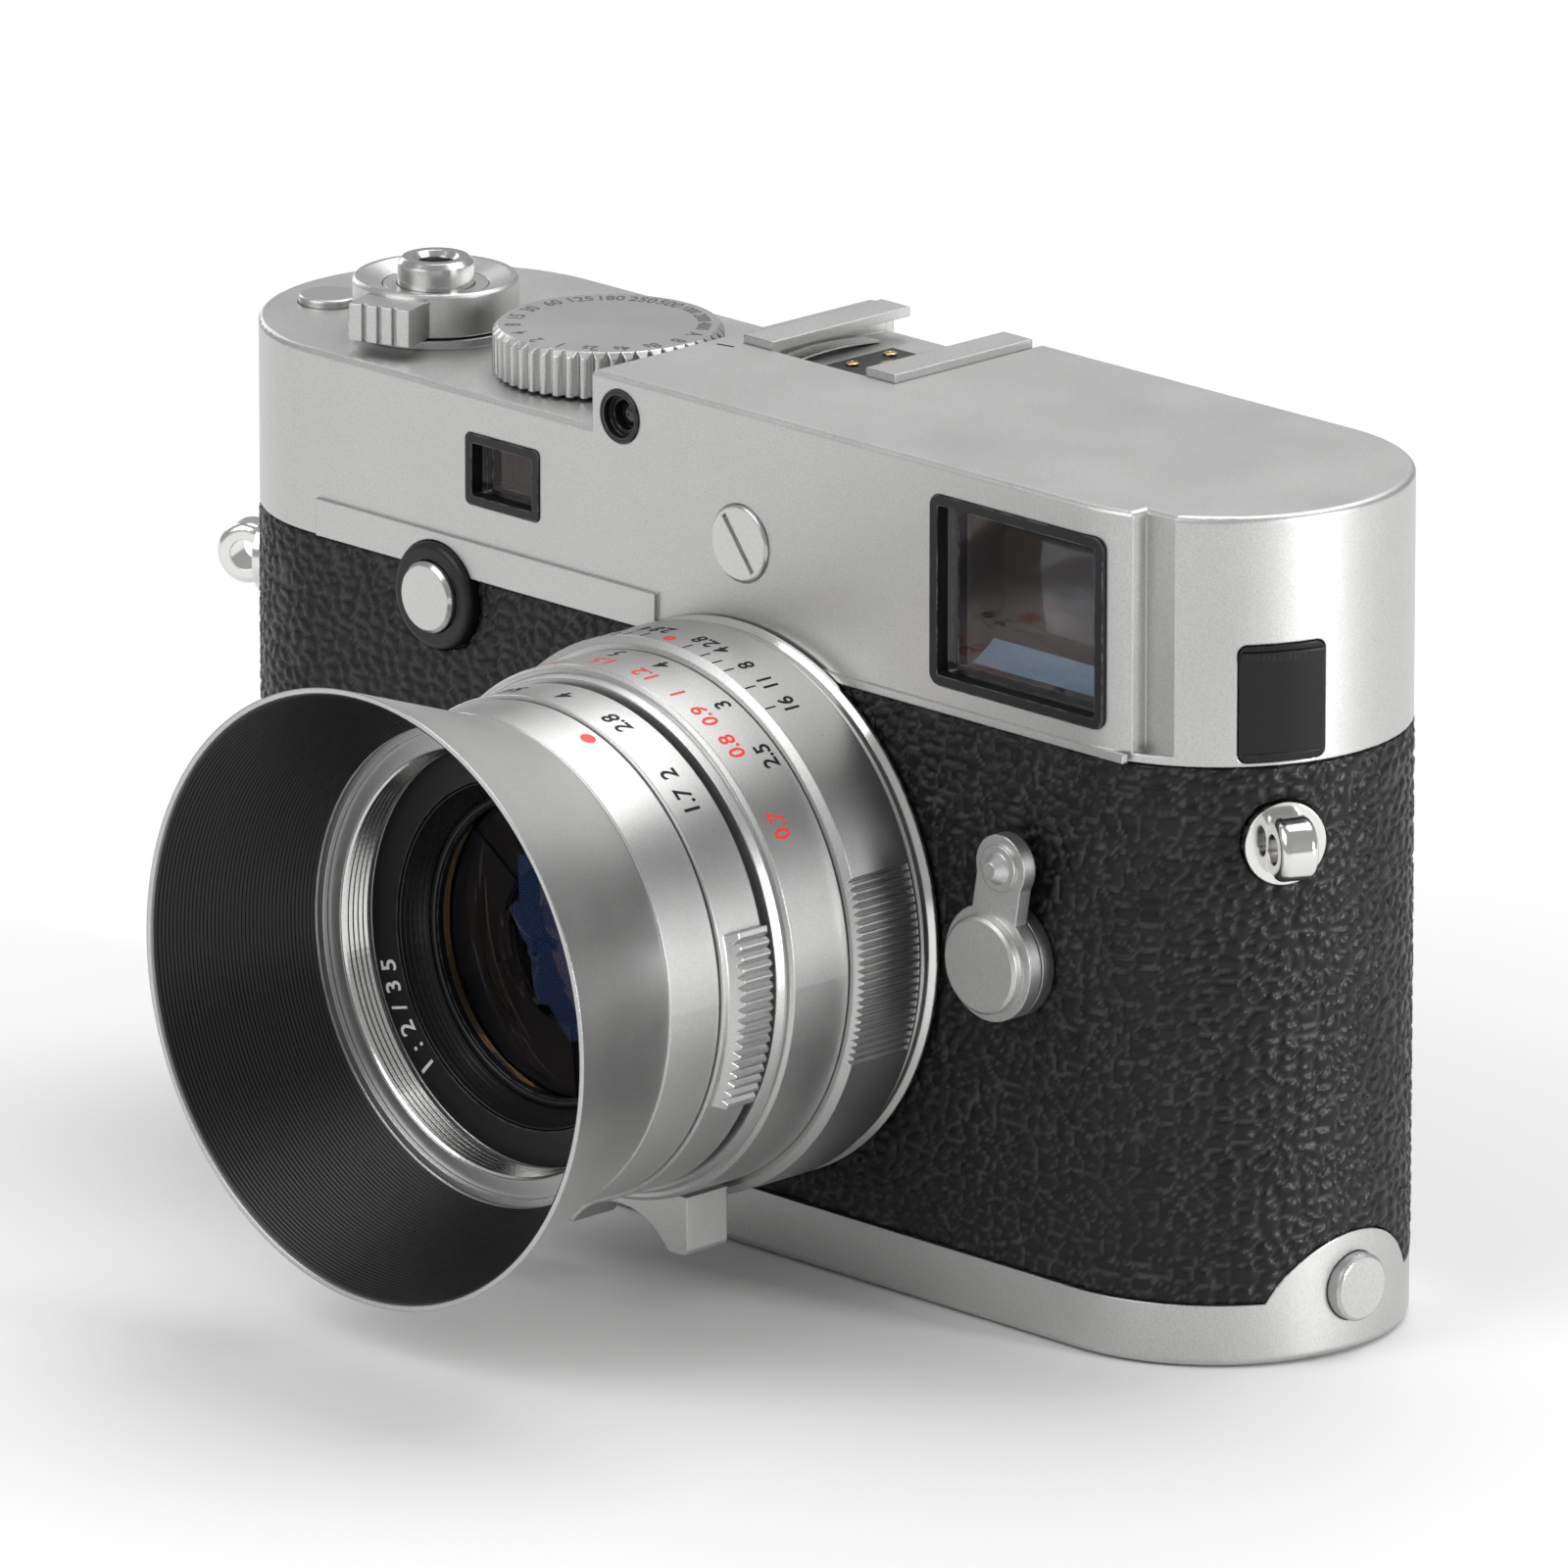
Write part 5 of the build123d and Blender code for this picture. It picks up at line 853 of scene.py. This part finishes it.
def make_sensor_lens():
    """Small dark dome at the bottom of the round light sensor window."""
    x, z = middle("light_sensor").x, middle("light_sensor").z
    radius, rim_y, rise, base_y = 1.35, -16.32, 0.75, -16.25
    turns = np.linspace(0, math.pi / 2 - 0.02, 10)
    dome = [(radius * math.cos(a), rim_y - rise * math.sin(a)) for a in turns]
    dark = finish("sensor_dome", (0.010, 0.010, 0.013), 0.0, 0.10, depth=0.0004, edge=0.03, Coat_Weight=0.5)
    lathe("sensor_lens", dome + [(0.02, base_y), (radius, base_y)], "Y", (x, z), dark, "camera_body",
          48)


make_finder()
make_range_window()
make_sensor_lens()


# ---------------------------------------------------------------- accessory shoe, back and port flap

def make_shoe_details():
    """Bowed leaf springs along the slot, and the contact pins."""
    low, high = span("accessory_shoe")
    x = (low.x + high.x) / 2
    slot_floor = 78.7
    springs = Solid()
    for side in (-1, 1):
        rows = []
        for t in np.linspace(0, 1, 13):
            rows.append((low.y + 1.9 + 12.6 * t, slot_floor + 0.04 + 0.42 * math.sin(math.pi * t)))
        springs.plate((x + side * 7.7 - 1.15, x + side * 7.7 + 1.15), rows, 0.16)
    springs.plate((x - 8.6, x + 8.6), [(low.y + 1.25, slot_floor + 0.03), (low.y + 2.1, slot_floor + 0.05)], 0.16)
    piece("shoe_spring", springs.points, springs.faces, materials["polished_chrome"], "camera_body")
    pad_low, pad_high = span("shoe_contacts")
    pad = (pad_low + pad_high) / 2
    pins = [(0.0, 0.0, 1.15), (-2.7, 2.5, 0.65), (2.7, 2.5, 0.65), (-2.7, -2.5, 0.65), (2.7, -2.5, 0.65)]
    for number, (dx, dy, r) in enumerate(pins):
        dome = [(r, pad_high.z - 0.03), (r, pad_high.z + 0.05), (0.75 * r, pad_high.z + 0.13),
                (0.02, pad_high.z + 0.17), (0.02, pad_high.z - 0.03)]
        lathe(f"shoe_pin_{number}", dome, "Z", (pad.x + dx, pad.y + dy), brass_gold, "camera_body",
              40)


def make_back_details():
    """Arrow marks on the direction pad."""
    pad_low, pad_high = span("direction_pad")
    centre = (pad_low + pad_high) / 2
    marks = Solid()
    y = pad_high.y
    for turn in range(4):
        a = turn * math.pi / 2
        tip, base = 7.3, 6.5
        corners = []
        for r, side in ((tip, 0.0), (base, 0.75), (base, -0.75)):
            across = centre.x + r * math.cos(a) - side * math.sin(a)
            up = centre.z + r * math.sin(a) + side * math.cos(a)
            corners.append((across, up))
        points = [(px, y - 0.03, pz) for px, pz in corners] + [(px, y + 0.012, pz) for px, pz in corners]
        marks.add(points, [(0, 1, 2), (5, 4, 3), (0, 3, 4, 1), (1, 4, 5, 2), (2, 5, 3, 0)])
    piece("pad_marks", marks.points, marks.faces, paint_white, "direction_pad")


def make_port_lip():
    """Raised finger lip and lower ridge on the flap over the port."""
    low, high = span("port_cover")
    end_radius = 18.1
    end_x = span("leather_covering")[1].x - end_radius
    heart = (low + high) / 2
    turn = math.atan2(heart.y, heart.x - end_x)
    half = 4.15 / end_radius
    lip = Solid()
    rubber = finish("port_rubber", (0.006, 0.006, 0.006), 0.0, 0.24, grain=4200.0, depth=0.004, edge=0.3,
                    worn=(0.03, 0.03, 0.03), Specular_IOR_Level=0.3)
    wear("port_cover", rubber)
    steps = 16
    shapes = (((high.z - 1.6, high.z - 0.5), 18.00, 18.42, half * 0.96),
              ((low.z + 0.4, low.z + 0.8), 18.00, 18.14, half * 0.9))
    for (bottom, top), inner, outer, reach in shapes:
        for k in range(steps):
            a, b = (turn - reach + 2 * reach * t / steps for t in (k, k + 1))
            slope = 0.25 * (outer - inner)
            around_block = ((inner, a), (inner, b), (outer, b), (outer, a))
            base = [(end_x + r * math.cos(t), r * math.sin(t)) for r, t in around_block]
            lip.hexa([(x, y, bottom + (slope if n > 1 else 0)) for n, (x, y) in enumerate(base)][::-1] +
                     [(x, y, top - (slope if n > 1 else 0)) for n, (x, y) in enumerate(base)][::-1])
    piece("port_lip", lip.points, lip.faces, rubber, "port_cover")


make_shoe_details()
make_back_details()
make_port_lip()


# ---------------------------------------------------------------- floor, light and camera

def make_floor():
    mesh = bpy.data.meshes.new("floor")
    reach = 3.0
    level = min(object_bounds()[0].z, 0.0) - 0.0002
    corners = [(-reach, -reach, level), (reach, -reach, level), (reach, reach, level), (-reach, reach, level)]
    mesh.from_pydata(corners, [], [(0, 1, 2, 3)])
    g = Graph("floor", (0.86, 0.86, 0.86), 0.0, 0.75)
    g.put("Base Color", g.blend(g.noise(3.0, 2.0), (0.85, 0.85, 0.85), (0.88, 0.88, 0.875)))
    mesh.materials.append(g.material)
    floor = bpy.data.objects.new("floor", mesh)
    bpy.context.scene.collection.objects.link(floor)


def softbox(name, azimuth, elevation, distance, size, power, target=(0.0, 0.0, 0.045)):
    """A rectangular area light; azimuth is measured from +X towards +Y."""
    a, e = math.radians(azimuth), math.radians(elevation)
    direction = Vector((math.cos(a) * math.cos(e), math.sin(a) * math.cos(e), math.sin(e)))
    light = bpy.data.lights.new(name, "AREA")
    light.shape = "RECTANGLE"
    light.size, light.size_y = size
    light.energy = power
    lamp = bpy.data.objects.new(name, light)
    bpy.context.scene.collection.objects.link(lamp)
    lamp.location = Vector(target) + direction * distance
    lamp.rotation_euler = direction.to_track_quat("Z", "Y").to_euler()


make_floor()
softbox("overhead", 100, 62, 1.4, (1.3, 0.9), 12.0)
softbox("key", 12, 7, 1.0, (0.16, 0.5), 6.5)
softbox("front_fill", -100, 40, 1.4, (1.0, 1.0), 8.0)
softbox("left_rim", 165, 20, 1.3, (0.4, 0.6), 2.0)

world = bpy.data.worlds.new("studio")
world.use_nodes = True
world.node_tree.nodes["Background"].inputs["Color"].default_value = (1.0, 1.0, 1.0, 1.0)
world.node_tree.nodes["Background"].inputs["Strength"].default_value = 0.42
bpy.context.scene.world = world

# The camera stands off the front, above the deck and towards the end with the port flap; in metres.
camera_place = (1.3626, -1.3368, 0.6050)
camera_aim = (0.00649, -0.01191, 0.04341)
camera_data = bpy.data.cameras.new("camera")
camera_data.lens = 488.9
camera_data.sensor_width = 36.0
camera_data.clip_start = 0.05
camera_data.clip_end = 20.0
camera_data.dof.use_dof = False
camera = bpy.data.objects.new("camera", camera_data)
bpy.context.scene.collection.objects.link(camera)
camera.location = camera_place
camera.rotation_euler = (Vector(camera_aim) - Vector(camera.location)).to_track_quat("-Z", "Y").to_euler()
bpy.context.scene.camera = camera
bpy.context.scene.view_settings.view_transform = "Standard"
